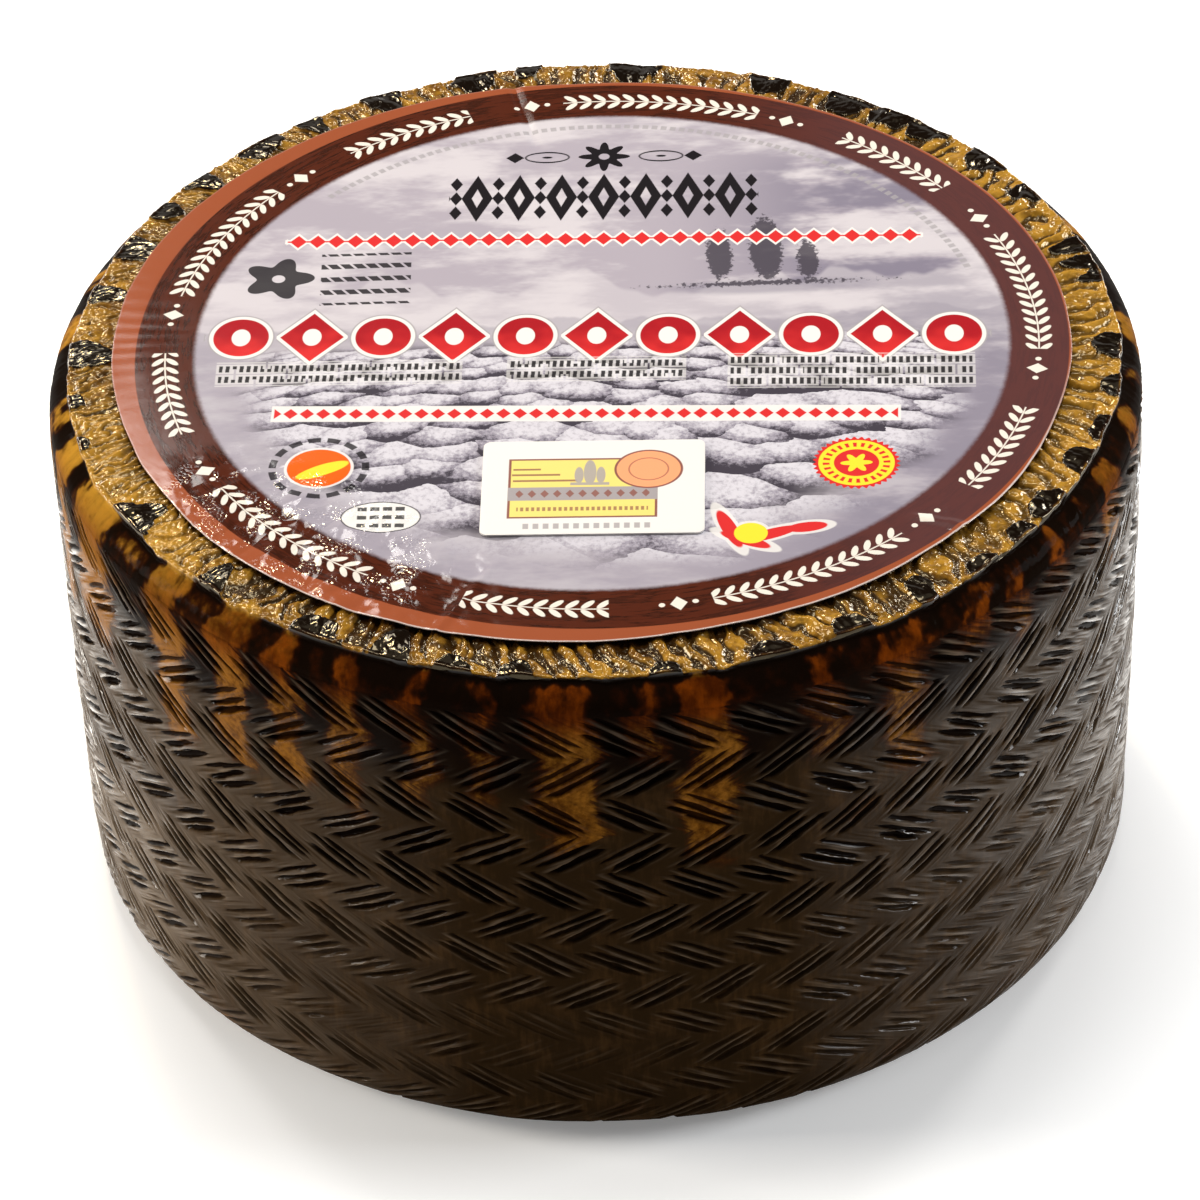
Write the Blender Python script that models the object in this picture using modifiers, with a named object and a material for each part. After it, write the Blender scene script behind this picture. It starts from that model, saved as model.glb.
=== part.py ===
"""A whole wheel of aged sheep's milk cheese, with its round paper label and a small square sticker.

The wheel is a squat drum. Its flat top meets the side at a soft lip, below the lip runs a smooth
collar, and from there down to the rounded foot the side carries the print of a plaited grass belt:
twelve bands of slanted grooves that lean one way and then the other.
"""

import math

import bmesh
import bpy
import numpy as np
from mathutils import Matrix

MM = 0.001

# The wheel
WHEEL_RADIUS = 98.4 * MM
FOOT_RADIUS = 96.6 * MM
WHEEL_HEIGHT = 104.0 * MM
TOP_EDGE_RADIUS = 7.0 * MM
FOOT_EDGE_RADIUS = 8.5 * MM
# The top edge's arc is modelled from the lip, 25 degrees into it, to its last ring of points.
LIP_ANGLE = math.radians(25)
ARC_END_ANGLE = math.radians(75)
ARC_RINGS = 3
LIP_RISE = 0.4 * MM
LOWEST_RING_HEIGHT = 1.02 * MM

# The belt's print. A band is one row of grooves, and bands get a little less high towards the foot.
GROUPS_AROUND = 48
GROOVES_IN_GROUP = 3
BANDS = 12
FIRST_BAND_DEPTH = 6.5 * MM
FIRST_BAND_HEIGHT = 8.9 * MM
BAND_SHRINK = 0.0875 * MM
BAND_SLIDE = 13.8 * MM
GROOVE_STAGGER = 0.15
FALLING_MIDDLE_COLUMN = 2
RISING_MIDDLE_COLUMN = 0
SHALLOWEST_GROOVE = 0.25 * MM
DEEPEST_GROOVE = 1.05 * MM

# The crinkled ring between label and lip, and the dents where the rim was pressed
RING_INNER_RADIUS = 88.6 * MM
RING_ROWS = 4
CRINKLE_DEPTH = 0.7 * MM
DENT_DEPTH = 0.9 * MM
LIP_WANDER = 0.5 * MM
CRINKLE_SEED = 7

# The paper
LABEL_RADIUS = 86.2 * MM
LABEL_CENTRE = (-1.6 * MM, 1.1 * MM)
LABEL_THICKNESS = 0.25 * MM
LABEL_SIDES = 120
STICKER_WIDTH = 38.8 * MM
STICKER_DEPTH = 27.0 * MM
STICKER_CENTRE = (-1.0 * MM, -43.0 * MM)
STICKER_TURN = math.radians(-2.2)
STICKER_CORNER = 1.5 * MM
STICKER_CORNER_STEPS = 4
STICKER_THICKNESS = 0.2 * MM
PAPER_GAP = 0.3 * MM

MERGE_DISTANCE = 0.01 * MM
COLUMNS = GROUPS_AROUND * GROOVES_IN_GROUP
LIP_RADIUS = WHEEL_RADIUS - TOP_EDGE_RADIUS * (1 - math.sin(LIP_ANGLE))
LIP_DROP = TOP_EDGE_RADIUS * (1 - math.cos(LIP_ANGLE))
COLLECTION_NAME = "cheese_wheel"


def clear_scene():
    for old in list(bpy.data.objects):
        bpy.data.objects.remove(old, do_unlink=True)


def make_collection():
    collection = bpy.data.collections.new(COLLECTION_NAME)
    bpy.context.scene.collection.children.link(collection)
    return collection


def make_material(name, colour, roughness, metallic=0.0):
    material = bpy.data.materials.new(name)
    material.use_nodes = True
    shader = material.node_tree.nodes["Principled BSDF"]
    shader.inputs["Base Color"].default_value = (*colour, 1.0)
    shader.inputs["Roughness"].default_value = roughness
    shader.inputs["Metallic"].default_value = metallic
    return material


def band_depth(band):
    """Depth below the top at which a band starts. Each band is a little less high than the last."""
    return FIRST_BAND_DEPTH + FIRST_BAND_HEIGHT * band - BAND_SHRINK * band**2


def band_at(depth):
    """The band coordinate at a depth, the inverse of band_depth: 0 at the collar, 12 at the foot."""
    inside = FIRST_BAND_HEIGHT**2 - 4 * BAND_SHRINK * (depth - FIRST_BAND_DEPTH)
    return (FIRST_BAND_HEIGHT - np.sqrt(inside)) / (2 * BAND_SHRINK)


def side_radius(height):
    """Radius of the smooth drum: a straight tapered side that rounds off into lip and foot."""
    height = np.asarray(height, float)
    radius = FOOT_RADIUS + (WHEEL_RADIUS - FOOT_RADIUS) * height / WHEEL_HEIGHT
    for edge, rise in ((TOP_EDGE_RADIUS, WHEEL_HEIGHT - height), (FOOT_EDGE_RADIUS, height)):
        into = np.clip(edge - rise, 0, edge)
        radius = radius - edge + np.sqrt(edge**2 - into**2)
    return radius


def wheel_profile():
    """Half of the wheel's outline as (radius, height) points, from the middle of the top down to
    the foot and back to the middle of the base."""
    points = [(0.0, WHEEL_HEIGHT)]
    for radius in np.linspace(RING_INNER_RADIUS, LIP_RADIUS, RING_ROWS):
        points.append((radius, WHEEL_HEIGHT))
    for angle in np.linspace(LIP_ANGLE, ARC_END_ANGLE, ARC_RINGS + 1)[1:]:
        points.append((None, WHEEL_HEIGHT - TOP_EDGE_RADIUS * (1 - math.cos(angle))))
    for half_band in range(2 * BANDS + 1):
        points.append((None, WHEEL_HEIGHT - band_depth(half_band / 2)))
    points.append((None, LOWEST_RING_HEIGHT))
    points.append((FOOT_RADIUS - FOOT_EDGE_RADIUS, 0.0))
    points.append((0.0, 0.0))
    return [(float(side_radius(z)) if r is None else float(r), float(z)) for r, z in points]


def turned_mesh(name, profile, steps):
    """A mesh turned from a profile by a Screw modifier, which is then applied."""
    outline = bpy.data.meshes.new(name + "_outline")
    edges = [(i, i + 1) for i in range(len(profile) - 1)]
    outline.from_pydata([(r, 0.0, z) for r, z in profile], edges, [])
    guide = bpy.data.objects.new(name + "_outline", outline)
    bpy.context.scene.collection.objects.link(guide)
    screw = guide.modifiers.new("Turn", "SCREW")
    screw.steps = steps
    screw.render_steps = steps
    screw.use_merge_vertices = True
    screw.merge_threshold = MERGE_DISTANCE
    bpy.context.view_layer.update()
    evaluated = guide.evaluated_get(bpy.context.evaluated_depsgraph_get())
    mesh = bpy.data.meshes.new_from_object(evaluated)
    bpy.data.objects.remove(guide, do_unlink=True)
    bpy.data.meshes.remove(outline)
    mesh.name = name
    return mesh


def groove_print(column, depth):
    """How the belt moves a point of the side. Returns its new depth, its slide round the wheel and
    how far it is pressed in.

    Points on a band's edges stay out. Those at mid-band go to the middle of their groove, which
    lies lower for each next groove of a group, and the lowest groove is pressed deepest."""
    band = band_at(depth)
    number = np.floor(np.clip(band + 0.25, 0, BANDS - 0.5))
    at_middle = np.abs(band - number - 0.5) < 0.25
    falling = number % 2 == 0

    middle_column = np.where(falling, FALLING_MIDDLE_COLUMN, RISING_MIDDLE_COLUMN)
    to_right = (column - middle_column + 1) % GROOVES_IN_GROUP - 1
    lowness = np.where(falling, -to_right, to_right)
    new_band = np.where(at_middle, number + 0.5 + GROOVE_STAGGER * lowness, band)
    deeper = (DEEPEST_GROOVE - SHALLOWEST_GROOVE) * ((lowness + 1) / 2) ** 2
    press = np.where(at_middle, SHALLOWEST_GROOVE + deeper, 0.0)

    slide = BAND_SLIDE * (1 - np.abs(1 - new_band % 2))
    return band_depth(new_band), slide, press


def press_wheel(mesh):
    """Moves the turned wheel's points: the belt's print on the side, crinkles on the top ring."""
    count = len(mesh.vertices)
    flat = np.empty(count * 3)
    mesh.vertices.foreach_get("co", flat)
    x, y, height = flat.reshape(-1, 3).T.copy()
    radius = np.hypot(x, y)
    azimuth = np.arctan2(y, x)
    column = np.round(azimuth / (2 * math.pi) * COLUMNS) % COLUMNS

    depth = WHEEL_HEIGHT - height
    side = (depth > band_depth(0) - MERGE_DISTANCE) & (depth < band_depth(BANDS) + MERGE_DISTANCE)
    depth, slide, press = groove_print(column, np.where(side, depth, FIRST_BAND_DEPTH))
    height = np.where(side, WHEEL_HEIGHT - depth, height)
    radius = np.where(side, side_radius(height) - press, radius)
    azimuth = np.where(side, azimuth + slide / WHEEL_RADIUS, azimuth)

    rng = np.random.default_rng(CRINKLE_SEED)
    rough = rng.uniform(0.0, 1.0, (RING_ROWS, COLUMNS))
    wander = rng.uniform(-1.0, 1.0, COLUMNS)
    column = column.astype(int)
    ring_width = LIP_RADIUS - RING_INNER_RADIUS
    row = np.round((radius - RING_INNER_RADIUS) / ring_width * (RING_ROWS - 1)).astype(int)
    ring = (height > WHEEL_HEIGHT - MERGE_DISTANCE) & (radius > 0.5 * RING_INNER_RADIUS)
    row = np.clip(row, 0, RING_ROWS - 1)
    dented = (column % GROOVES_IN_GROUP == 0) & (row == RING_ROWS - 2)
    drop = CRINKLE_DEPTH * rough[row, column] + DENT_DEPTH * dented
    drop = np.where(row == RING_ROWS - 1, LIP_DROP - LIP_RISE * rough[row, column], drop)
    height = np.where(ring, height - drop, height)
    at_lip = ring & (row == RING_ROWS - 1)
    radius = np.where(at_lip, radius + LIP_WANDER * wander[column], radius)

    moved = np.stack([radius * np.cos(azimuth), radius * np.sin(azimuth), height], axis=1)
    mesh.vertices.foreach_set("co", moved.ravel())
    mesh.update()


def split_into_triangles(mesh):
    """Splits every four-sided face along its better diagonal, so the print reads crisply."""
    work = bmesh.new()
    work.from_mesh(mesh)
    bmesh.ops.remove_doubles(work, verts=work.verts, dist=MERGE_DISTANCE)
    bmesh.ops.triangulate(work, faces=work.faces, quad_method="BEAUTY")
    bmesh.ops.recalc_face_normals(work, faces=work.faces)
    work.to_mesh(mesh)
    work.free()


def build_rind(collection):
    mesh = turned_mesh("rind", wheel_profile(), COLUMNS)
    press_wheel(mesh)
    split_into_triangles(mesh)
    mesh.materials.append(make_material("dark_rind", (0.035, 0.022, 0.014), 0.3))
    rind = bpy.data.objects.new("rind", mesh)
    collection.objects.link(rind)
    return rind


def build_label(collection):
    """The label is a thin disc that lies a hair above the top."""
    mesh = bpy.data.meshes.new("label")
    disc = bmesh.new()
    middle = WHEEL_HEIGHT + PAPER_GAP + LABEL_THICKNESS / 2
    bmesh.ops.create_cone(
        disc,
        cap_ends=True,
        segments=LABEL_SIDES,
        radius1=LABEL_RADIUS,
        radius2=LABEL_RADIUS,
        depth=LABEL_THICKNESS,
        matrix=Matrix.Translation((*LABEL_CENTRE, middle)),
    )
    disc.to_mesh(mesh)
    disc.free()
    mesh.materials.append(make_material("printed_paper", (0.52, 0.49, 0.55), 0.25))
    label = bpy.data.objects.new("label", mesh)
    collection.objects.link(label)
    return label


def build_sticker(collection):
    """The sticker is a flat sheet with rounded corners, thickened upwards, on top of the label."""
    mesh = bpy.data.meshes.new("sticker")
    sheet = bmesh.new()
    bmesh.ops.create_grid(sheet, x_segments=1, y_segments=1, size=0.5)
    bmesh.ops.scale(sheet, verts=sheet.verts, vec=(STICKER_WIDTH, STICKER_DEPTH, 1.0))
    bmesh.ops.bevel(
        sheet,
        geom=sheet.verts[:],
        offset=STICKER_CORNER,
        segments=STICKER_CORNER_STEPS,
        affect="VERTICES",
        profile=0.5,
    )
    sheet.to_mesh(mesh)
    sheet.free()
    mesh.materials.append(make_material("white_sticker", (0.8, 0.8, 0.78), 0.3))
    sticker = bpy.data.objects.new("sticker", mesh)
    collection.objects.link(sticker)
    underside = WHEEL_HEIGHT + 2 * PAPER_GAP + LABEL_THICKNESS
    sticker.location = (*STICKER_CENTRE, underside)
    sticker.rotation_euler = (0.0, 0.0, STICKER_TURN)
    solidify = sticker.modifiers.new("Thickness", "SOLIDIFY")
    solidify.thickness = STICKER_THICKNESS
    solidify.offset = 1.0
    return sticker


def main():
    clear_scene()
    collection = make_collection()
    build_rind(collection)
    build_label(collection)
    build_sticker(collection)


main()
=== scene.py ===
# %% [markdown]
# # A whole wheel of aged sheep's milk cheese
#
# The real wheel is curd pressed in a plaited grass belt between two boards. The belt leaves
# twelve bands of slanted grooves on the side, the upper board leaves short ridges on the rim of
# the top, and the maker paints the rind dark and glosses it. A round laminated label covers the
# top and a small white sticker sits on the label.
#
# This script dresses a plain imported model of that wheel. It loads the model first, because every
# surface below is set against its sizes.

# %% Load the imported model
import math
from functools import partialmethod

import bpy
import numpy as np
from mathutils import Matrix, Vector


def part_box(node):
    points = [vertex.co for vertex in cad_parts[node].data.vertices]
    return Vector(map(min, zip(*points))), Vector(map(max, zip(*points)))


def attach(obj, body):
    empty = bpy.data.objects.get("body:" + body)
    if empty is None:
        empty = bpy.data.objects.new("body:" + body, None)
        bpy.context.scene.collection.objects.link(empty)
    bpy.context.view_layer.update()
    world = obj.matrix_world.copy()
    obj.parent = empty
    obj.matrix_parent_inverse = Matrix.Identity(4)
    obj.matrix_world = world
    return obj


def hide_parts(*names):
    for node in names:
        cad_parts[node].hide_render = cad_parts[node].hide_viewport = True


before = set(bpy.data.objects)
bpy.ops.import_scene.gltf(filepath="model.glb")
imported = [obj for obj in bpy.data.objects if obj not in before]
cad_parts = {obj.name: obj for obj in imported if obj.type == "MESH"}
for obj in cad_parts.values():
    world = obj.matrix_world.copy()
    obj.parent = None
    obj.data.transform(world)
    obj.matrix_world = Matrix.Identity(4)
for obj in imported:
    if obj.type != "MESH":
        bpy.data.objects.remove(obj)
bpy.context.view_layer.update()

# %% [markdown]
# ## Sizes
#
# All shapes below are worked out in millimetres, because a cheese is easy to picture in them, and
# turned into metres only when a mesh is made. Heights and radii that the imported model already
# holds are read from it, so the dressing can't drift from it.

# %% Driving sizes in millimetres
MM = 0.001
GROUPS = 48
GROOVES_IN_GROUP = 3
BANDS = 12

rind_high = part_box("rind")[1]
label_low, label_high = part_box("label")
sticker_low, sticker_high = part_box("sticker")
TOP = rind_high.z / MM
LABEL_TOP = label_high.z / MM
LABEL_BOTTOM = label_low.z / MM
LABEL_RADIUS = (label_high.x - label_low.x) / 2 / MM
LABEL_X = (label_high.x + label_low.x) / 2 / MM
LABEL_Y = (label_high.y + label_low.y) / 2 / MM
STICKER_X = (sticker_high.x + sticker_low.x) / 2 / MM
STICKER_Y = (sticker_high.y + sticker_low.y) / 2 / MM
STICKER_TOP = sticker_high.z / MM

RIM_RADIUS = 98.25
FOOT_RADIUS = 96.6
BARREL = 0.5
TOP_EDGE = 7.0
FOOT_EDGE = 8.5
COLLAR = 6.5
FIRST_BAND = 8.9
BAND_SHRINK = 0.0875
BELT_SLIDE = 13.8
GROUP_PITCH = 2 * math.pi * RIM_RADIUS / GROUPS
print("wheel top", round(TOP, 2), "mm, group pitch", round(GROUP_PITCH, 2), "mm")

# %% [markdown]
# ## Small helpers for surfaces
#
# Every surface here is a grid of points: one parameter runs round the wheel, the other from the
# middle of the top down to the middle of the base. Numpy works out all points at once, and
# `foreach_set` hands them to Blender in one go, which is far faster than adding points in a loop.
#
# Natural unevenness comes from lattice noise: random values on a grid, blended smoothly. It wraps
# round in its first parameter, so no seam shows at the back.


# %% Smooth steps and noise
def smooth(low, high, value):
    """0 below low, 1 above high, and the cubic 3s^2 - 2s^3 between them."""
    s = np.clip((value - low) / (high - low), 0, 1)
    return s * s * (3 - 2 * s)


def window(value, opens, full, fades, gone):
    """1 from full to fades, 0 below opens and above gone, with smooth steps between them."""
    return smooth(opens, full, value) * (1 - smooth(fades, gone, value))


def bell(value, width):
    """A soft bump: exp(-(value / width)^2)."""
    return np.exp(-((value / width) ** 2))


def noise(u, v, cells_u, cells_v, seed):
    """Random values from -1 to 1 on a lattice of cells_u by cells_v, blended with a cubic step.
    u wraps round after 1; v runs from 0 to 1 and is held at its ends."""
    table = np.random.default_rng(seed).uniform(-1, 1, (cells_v + 2, cells_u))
    x = (u % 1) * cells_u
    y = np.clip(v, 0, 1) * cells_v
    column = np.floor(x).astype(int)
    row = np.floor(y).astype(int)
    fx, fy = smooth(0, 1, x - column), smooth(0, 1, y - row)
    left, right = column % cells_u, (column + 1) % cells_u
    upper = table[row, left] * (1 - fx) + table[row, right] * fx
    lower = table[row + 1, left] * (1 - fx) + table[row + 1, right] * fx
    return upper * (1 - fy) + lower * fy


def layered_noise(u, v, cells_u, cells_v, seed, layers=3):
    """Noise at several scales: each layer has half the cell size and half the strength."""
    total = 0
    for layer in range(layers):
        finer = 2**layer
        total = total + noise(u, v, cells_u * finer, cells_v * finer, seed + layer) / finer
    return total


# %% [markdown]
# ## From a grid to meshes
#
# The rind is one grid, but a mesh of a million triangles is clumsy to store, so it goes into the
# scene as a few pieces that share their edge rows. If each piece worked out its own shading, a
# faint line would show where two pieces meet. So the normals are worked out once, on the whole
# grid, and each piece is given its share of them.


# %% Meshes from grids
def grid_normals(points):
    """The cross product of the steps down and along a closed grid, at each point, of length 1."""
    along = np.roll(points, -1, axis=1) - np.roll(points, 1, axis=1)
    down = np.gradient(points, axis=0)
    normal = np.cross(down, along)
    return normal / np.maximum(np.linalg.norm(normal, axis=2, keepdims=True), 1e-12)


def mesh_of(name, vertices, faces, material, normals=None, marks=None, uv=None):
    """A mesh object from arrays. vertices are in millimetres. faces is an integer array of rows of
    four, where a triangle repeats its last corner. marks holds one number per vertex by name."""
    mesh = bpy.data.meshes.new(name)
    triangle = faces[:, 2] == faces[:, 3]
    sizes = np.where(triangle, 3, 4)
    keep = np.ones(faces.shape, bool)
    keep[:, 3] = ~triangle
    corners = faces[keep]
    mesh.vertices.add(len(vertices))
    mesh.vertices.foreach_set("co", (vertices * MM).astype(np.float32).ravel())
    mesh.loops.add(len(corners))
    mesh.loops.foreach_set("vertex_index", corners.astype(np.int32))
    mesh.polygons.add(len(faces))
    starts = np.concatenate([[0], np.cumsum(sizes)[:-1]])
    mesh.polygons.foreach_set("loop_start", starts.astype(np.int32))
    if uv is not None:
        layer = mesh.uv_layers.new(name="OFBake")
        layer.uv.foreach_set("vector", uv[keep].astype(np.float32).ravel())
    for mark, values in (marks or {}).items():
        attribute = mesh.attributes.new(mark, "FLOAT", "POINT")
        attribute.data.foreach_set("value", values.astype(np.float32).ravel())
    mesh.update(calc_edges=True)
    mesh.validate()
    mesh.shade_smooth()
    if normals is not None:
        mesh.normals_split_custom_set_from_vertices(normals)
    mesh.materials.append(material)
    piece = bpy.data.objects.new(name, mesh)
    bpy.context.scene.collection.objects.link(piece)
    print(name, "triangles:", int((sizes - 2).sum()))
    return piece


def ring_faces(rows, columns):
    """Four-sided faces between neighbouring rows of a grid that closes on itself sideways."""
    i, j = np.meshgrid(np.arange(rows - 1), np.arange(columns), indexing="ij")
    here, beside = i * columns + j, i * columns + (j + 1) % columns
    return np.stack([here, here + columns, beside + columns, beside], axis=2).reshape(-1, 4)


def strip_uv(rows, columns, cuts):
    """A flat map for a ring of faces: the ring is cut into equal lengths, stacked in a square."""
    i, j = np.meshgrid(np.arange(rows - 1), np.arange(columns), indexing="ij")
    length = columns // cuts
    part, place = j // length, j % length
    margin = 0.004
    u = np.stack([place, place, place + 1, place + 1], axis=2) / length
    v = np.stack([i, i + 1, i + 1, i], axis=2) / (rows - 1)
    u = margin + (1 - 2 * margin) * u
    v = (part[..., None] + margin * cuts + (1 - 2 * margin * cuts) * (1 - v)) / cuts
    return np.stack([u, v], axis=3).reshape(-1, 4, 2)


# %% [markdown]
# ## The outline of the wheel
#
# Half of the wheel's outline carries all rows of the grid: flat across the top, round over the
# upper edge, down the slightly tapered side and round under the foot. Each row also knows the
# direction that points straight out of the smooth wheel there, because prints and ridges push the
# surface along that direction. The label hides the middle of the top, so one wide row is enough
# there.


# %% Outline rows
def band_depth(band):
    """Depth below the top where a band starts. Each band is a little less high than the one above
    it: collar + first * band - shrink * band^2."""
    return COLLAR + FIRST_BAND * band - BAND_SHRINK * band**2


def side_radius(height):
    """Radius of the smooth side at a height: a tapered wall that swells by BARREL half way up, as
    4t(1 - t), with a quarter circle at each end."""
    t = height / TOP
    radius = FOOT_RADIUS + (RIM_RADIUS - FOOT_RADIUS) * t + BARREL * 4 * t * (1 - t)
    for edge, rise in ((TOP_EDGE, TOP - height), (FOOT_EDGE, height)):
        into = np.clip(edge - rise, 0, edge)
        radius = radius - edge + np.sqrt(edge**2 - into**2)
    return radius


COLUMNS_IN_GROUP, ROWS_IN_BAND = 48, 16
COLUMNS = GROUPS * COLUMNS_IN_GROUP
RING_ROWS, EDGE_ROWS, FOOT_ROWS, BASE_ROWS = 30, 40, 12, 28
HIDDEN_RADIUS, RING_START, POLE_RADIUS = 45.0, 83.0, 1.0
FLAT_RADIUS = RIM_RADIUS - TOP_EDGE
BASE_RADIUS = FOOT_RADIUS - FOOT_EDGE
COLLAR_TURN = math.acos(1 - COLLAR / TOP_EDGE)

ring_radius = np.linspace(RING_START, FLAT_RADIUS, RING_ROWS - 1, endpoint=False)
edge_turn = np.linspace(0, COLLAR_TURN, EDGE_ROWS, endpoint=False)
edge_height = TOP - TOP_EDGE * (1 - np.cos(edge_turn))
band_rows = np.linspace(0, BANDS, BANDS * ROWS_IN_BAND + 1)
band_height = TOP - band_depth(band_rows)
foot_start = math.acos(1 - (FOOT_EDGE - band_height[-1]) / FOOT_EDGE)
foot_turn = np.linspace(foot_start, math.pi / 2, FOOT_ROWS + 1)[1:]
foot_height = FOOT_EDGE * (1 - np.sin(foot_turn))
base_radius = np.linspace(BASE_RADIUS, POLE_RADIUS, BASE_ROWS + 1)[1:]

row_height = np.concatenate(
    [np.full(RING_ROWS, TOP), edge_height, band_height, foot_height, np.zeros(BASE_ROWS)]
)
row_radius = np.concatenate(
    [[HIDDEN_RADIUS], ring_radius, side_radius(row_height[RING_ROWS:-BASE_ROWS]), base_radius]
)
belt_start = RING_ROWS + EDGE_ROWS
belt_end = belt_start + len(band_rows)
row_band = np.full(len(row_height), -1.0)
row_band[belt_start:belt_end] = band_rows
row_band[belt_end:] = BANDS
row_reach = np.concatenate([[0], np.cumsum(np.hypot(np.diff(row_radius), np.diff(row_height)))])
row_reach -= row_reach[RING_ROWS]

step_r, step_z = np.gradient(row_radius), np.gradient(row_height)
step = np.hypot(step_r, step_z)
out_r, out_z = -step_z / step, step_r / step
out_r[:RING_ROWS], out_z[:RING_ROWS] = 0, 1
out_r[-BASE_ROWS:], out_z[-BASE_ROWS:] = 0, -1
print("rows:", len(row_height), "columns:", COLUMNS)

# %% [markdown]
# ## The belt's print
#
# The plaited belt leaves bands of short grooves, in groups of three. One band leans down to the
# right, the next leans back, and so on, like a herringbone cloth. The grid leans with them: along
# a column, the points slide round the wheel as far as the grooves do. So each groove lies along
# the grid's columns, and a grid of modest size shows it crisply. The rows below the belt go on
# with its colours and its unevenness, but have no grooves.
#
# A groove is spindle-shaped, wide in the middle and pointed at both ends. In a group, each next
# groove sits a little lower, and the lowest is the widest and deepest. Towards the foot, at the
# right and in patches, the thick paint has filled the grooves up.

# %% Where the columns run
column_turn = np.arange(COLUMNS) / COLUMNS
turn, band = np.meshgrid(column_turn, row_band)
on_belt = band >= 0
slide = np.where(on_belt, 1 - np.abs(1 - band % 2), 0.0) * BELT_SLIDE
place = turn + slide / (2 * math.pi * RIM_RADIUS)
azimuth = (place * 360 + 180) % 360 - 180
height = np.repeat(row_height[:, None], COLUMNS, axis=1)
reach = np.repeat(row_reach[:, None], COLUMNS, axis=1)
depth_mm = TOP - height
down = depth_mm / TOP
print("degrees between columns:", 360 / COLUMNS)

# %% Grooves
BAND_PHASES = [0.57, 0.87, 0.70, 0.83, 0.63, 0.97, 0.53, 1.03, 0.47, 1.00, 0.70, 0.40]
GROOVE_STAGGER = 0.175
GROUP_SQUEEZE = 0.16
HALF_LENGTH = 0.36
HALF_WIDTH = 0.66
DEEPEST = 1.10
RIM_WIDTH = 0.22
OUTER_RIM = 0.3
GROOVE_LEAN = math.radians(31)

groove_rng = np.random.default_rng(11)
around = GROUPS * GROOVES_IN_GROUP
groove_shift = groove_rng.normal(0, 0.08, (BANDS, around))
groove_drop = groove_rng.normal(0, 0.035, (BANDS, around))
groove_length = groove_rng.uniform(0.78, 1.18, (BANDS, around))
groove_press = groove_rng.uniform(0.65, 1.15, (BANDS, around))
groove_tilt = groove_rng.normal(0, 0.22, (BANDS, around))
band_phase = np.array(BAND_PHASES)
groove_pitch = GROUP_PITCH / GROOVES_IN_GROUP * math.sin(GROOVE_LEAN)


def belt_print(turn, band):
    """Depth in mm of the grooves, how far a point lies in one (0 to 1), and the raised rims.

    With x the distance across a groove and s the distance along it over its half length, the
    width narrows as (1 - s^2)^0.33 and the depth is press * (1 - |x / width|^3): a steep cut that
    ends in a point. A rim is a thin bump of the same length beside it, lower on the outside of
    the group. The grooves of a group stand a little closer than a third of the group's pitch.
    Only a point's nearest three grooves are looked at."""
    number = np.clip(np.floor(band), 0, BANDS - 1).astype(int)
    along = band - number
    falling = number % 2 == 0
    across = turn * around - band_phase[number] * GROOVES_IN_GROUP
    share = band / BANDS
    ragged = 0.16 * noise(turn, share, 520, 62, 4)
    torn = 0.20 * noise(turn, share, 900, 90, 5) + 0.15 * noise(turn, share, 1800, 160, 6)
    nearest = np.round(across).astype(int)
    depth, cut, rim = np.zeros((3, *turn.shape))
    for beside in (-1, 0, 1):
        index = nearest + beside
        order = (index + 1) % GROOVES_IN_GROUP - 1
        lowness = np.where(falling, -order, order)
        which = index % around
        middle = 0.5 + GROOVE_STAGGER * lowness + groove_drop[number, which]
        s = (along - middle) / (HALF_LENGTH * groove_length[number, which])
        inside = np.clip(1 - s**2, 0, 1)
        bend = groove_shift[number, which] + groove_tilt[number, which] * (along - middle)
        x = (across - index + GROUP_SQUEEZE * order - bend) * groove_pitch + ragged
        width = HALF_WIDTH * (1 + 0.22 * lowness + torn) * inside**0.33 + 1e-3
        shape = np.clip(1 - np.abs(x / width) ** 3, 0, 1) * inside**0.3
        edge = inside**0.8 * bell(np.abs(x) - HALF_WIDTH - RIM_WIDTH, RIM_WIDTH)
        edge *= np.where(order * x > 0, OUTER_RIM, 1.0)
        press = DEEPEST * groove_press[number, which] * (0.72 + 0.28 * lowness)
        depth = np.maximum(depth, press * shape)
        cut = np.maximum(cut, shape)
        rim = np.maximum(rim, edge)
    return depth, cut, rim * (1 - cut)


# %% [markdown]
# Handling has worn the print a little towards the foot, and thick paint has filled it: in patches
# low on the wheel, and most of all at the right, in the bands that lean down to the right.

# %% Grooves worn and filled
WORN_AT_FOOT, FILLED_IN_PATCHES, FILLED_AT_RIGHT, FILLED_LOW = 0.35, 0.75, 0.80, 0.35
belt_rows = slice(belt_start, belt_end)
fresh_print = np.zeros((3, *turn.shape))
fresh_print[:, belt_rows] = belt_print(turn[belt_rows], band[belt_rows])
worn = WORN_AT_FOOT * smooth(0.50, 0.95, down)
patches = smooth(0.35, 0.95, layered_noise(place, down, 14, 5, 301))
softness = smooth(0.45, 0.8, down + 0.1 * noise(place, down, 5, 2, 9))
falls = np.floor(band) % 2 == 0
soft_right = window(azimuth, 45, 75, 115, 140) * smooth(0.2, 0.4, down) * falls
soft_low = window(azimuth, 15, 50, 115, 140) * smooth(0.35, 0.6, down)
strength = (1 - worn) * (1 - FILLED_IN_PATCHES * patches * softness)
strength *= (1 - FILLED_AT_RIGHT * soft_right) * (1 - FILLED_LOW * soft_low)
groove_depth, groove_cut, groove_rim = strength * fresh_print
print("deepest groove, mm:", round(float(groove_depth.max()), 2))

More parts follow.
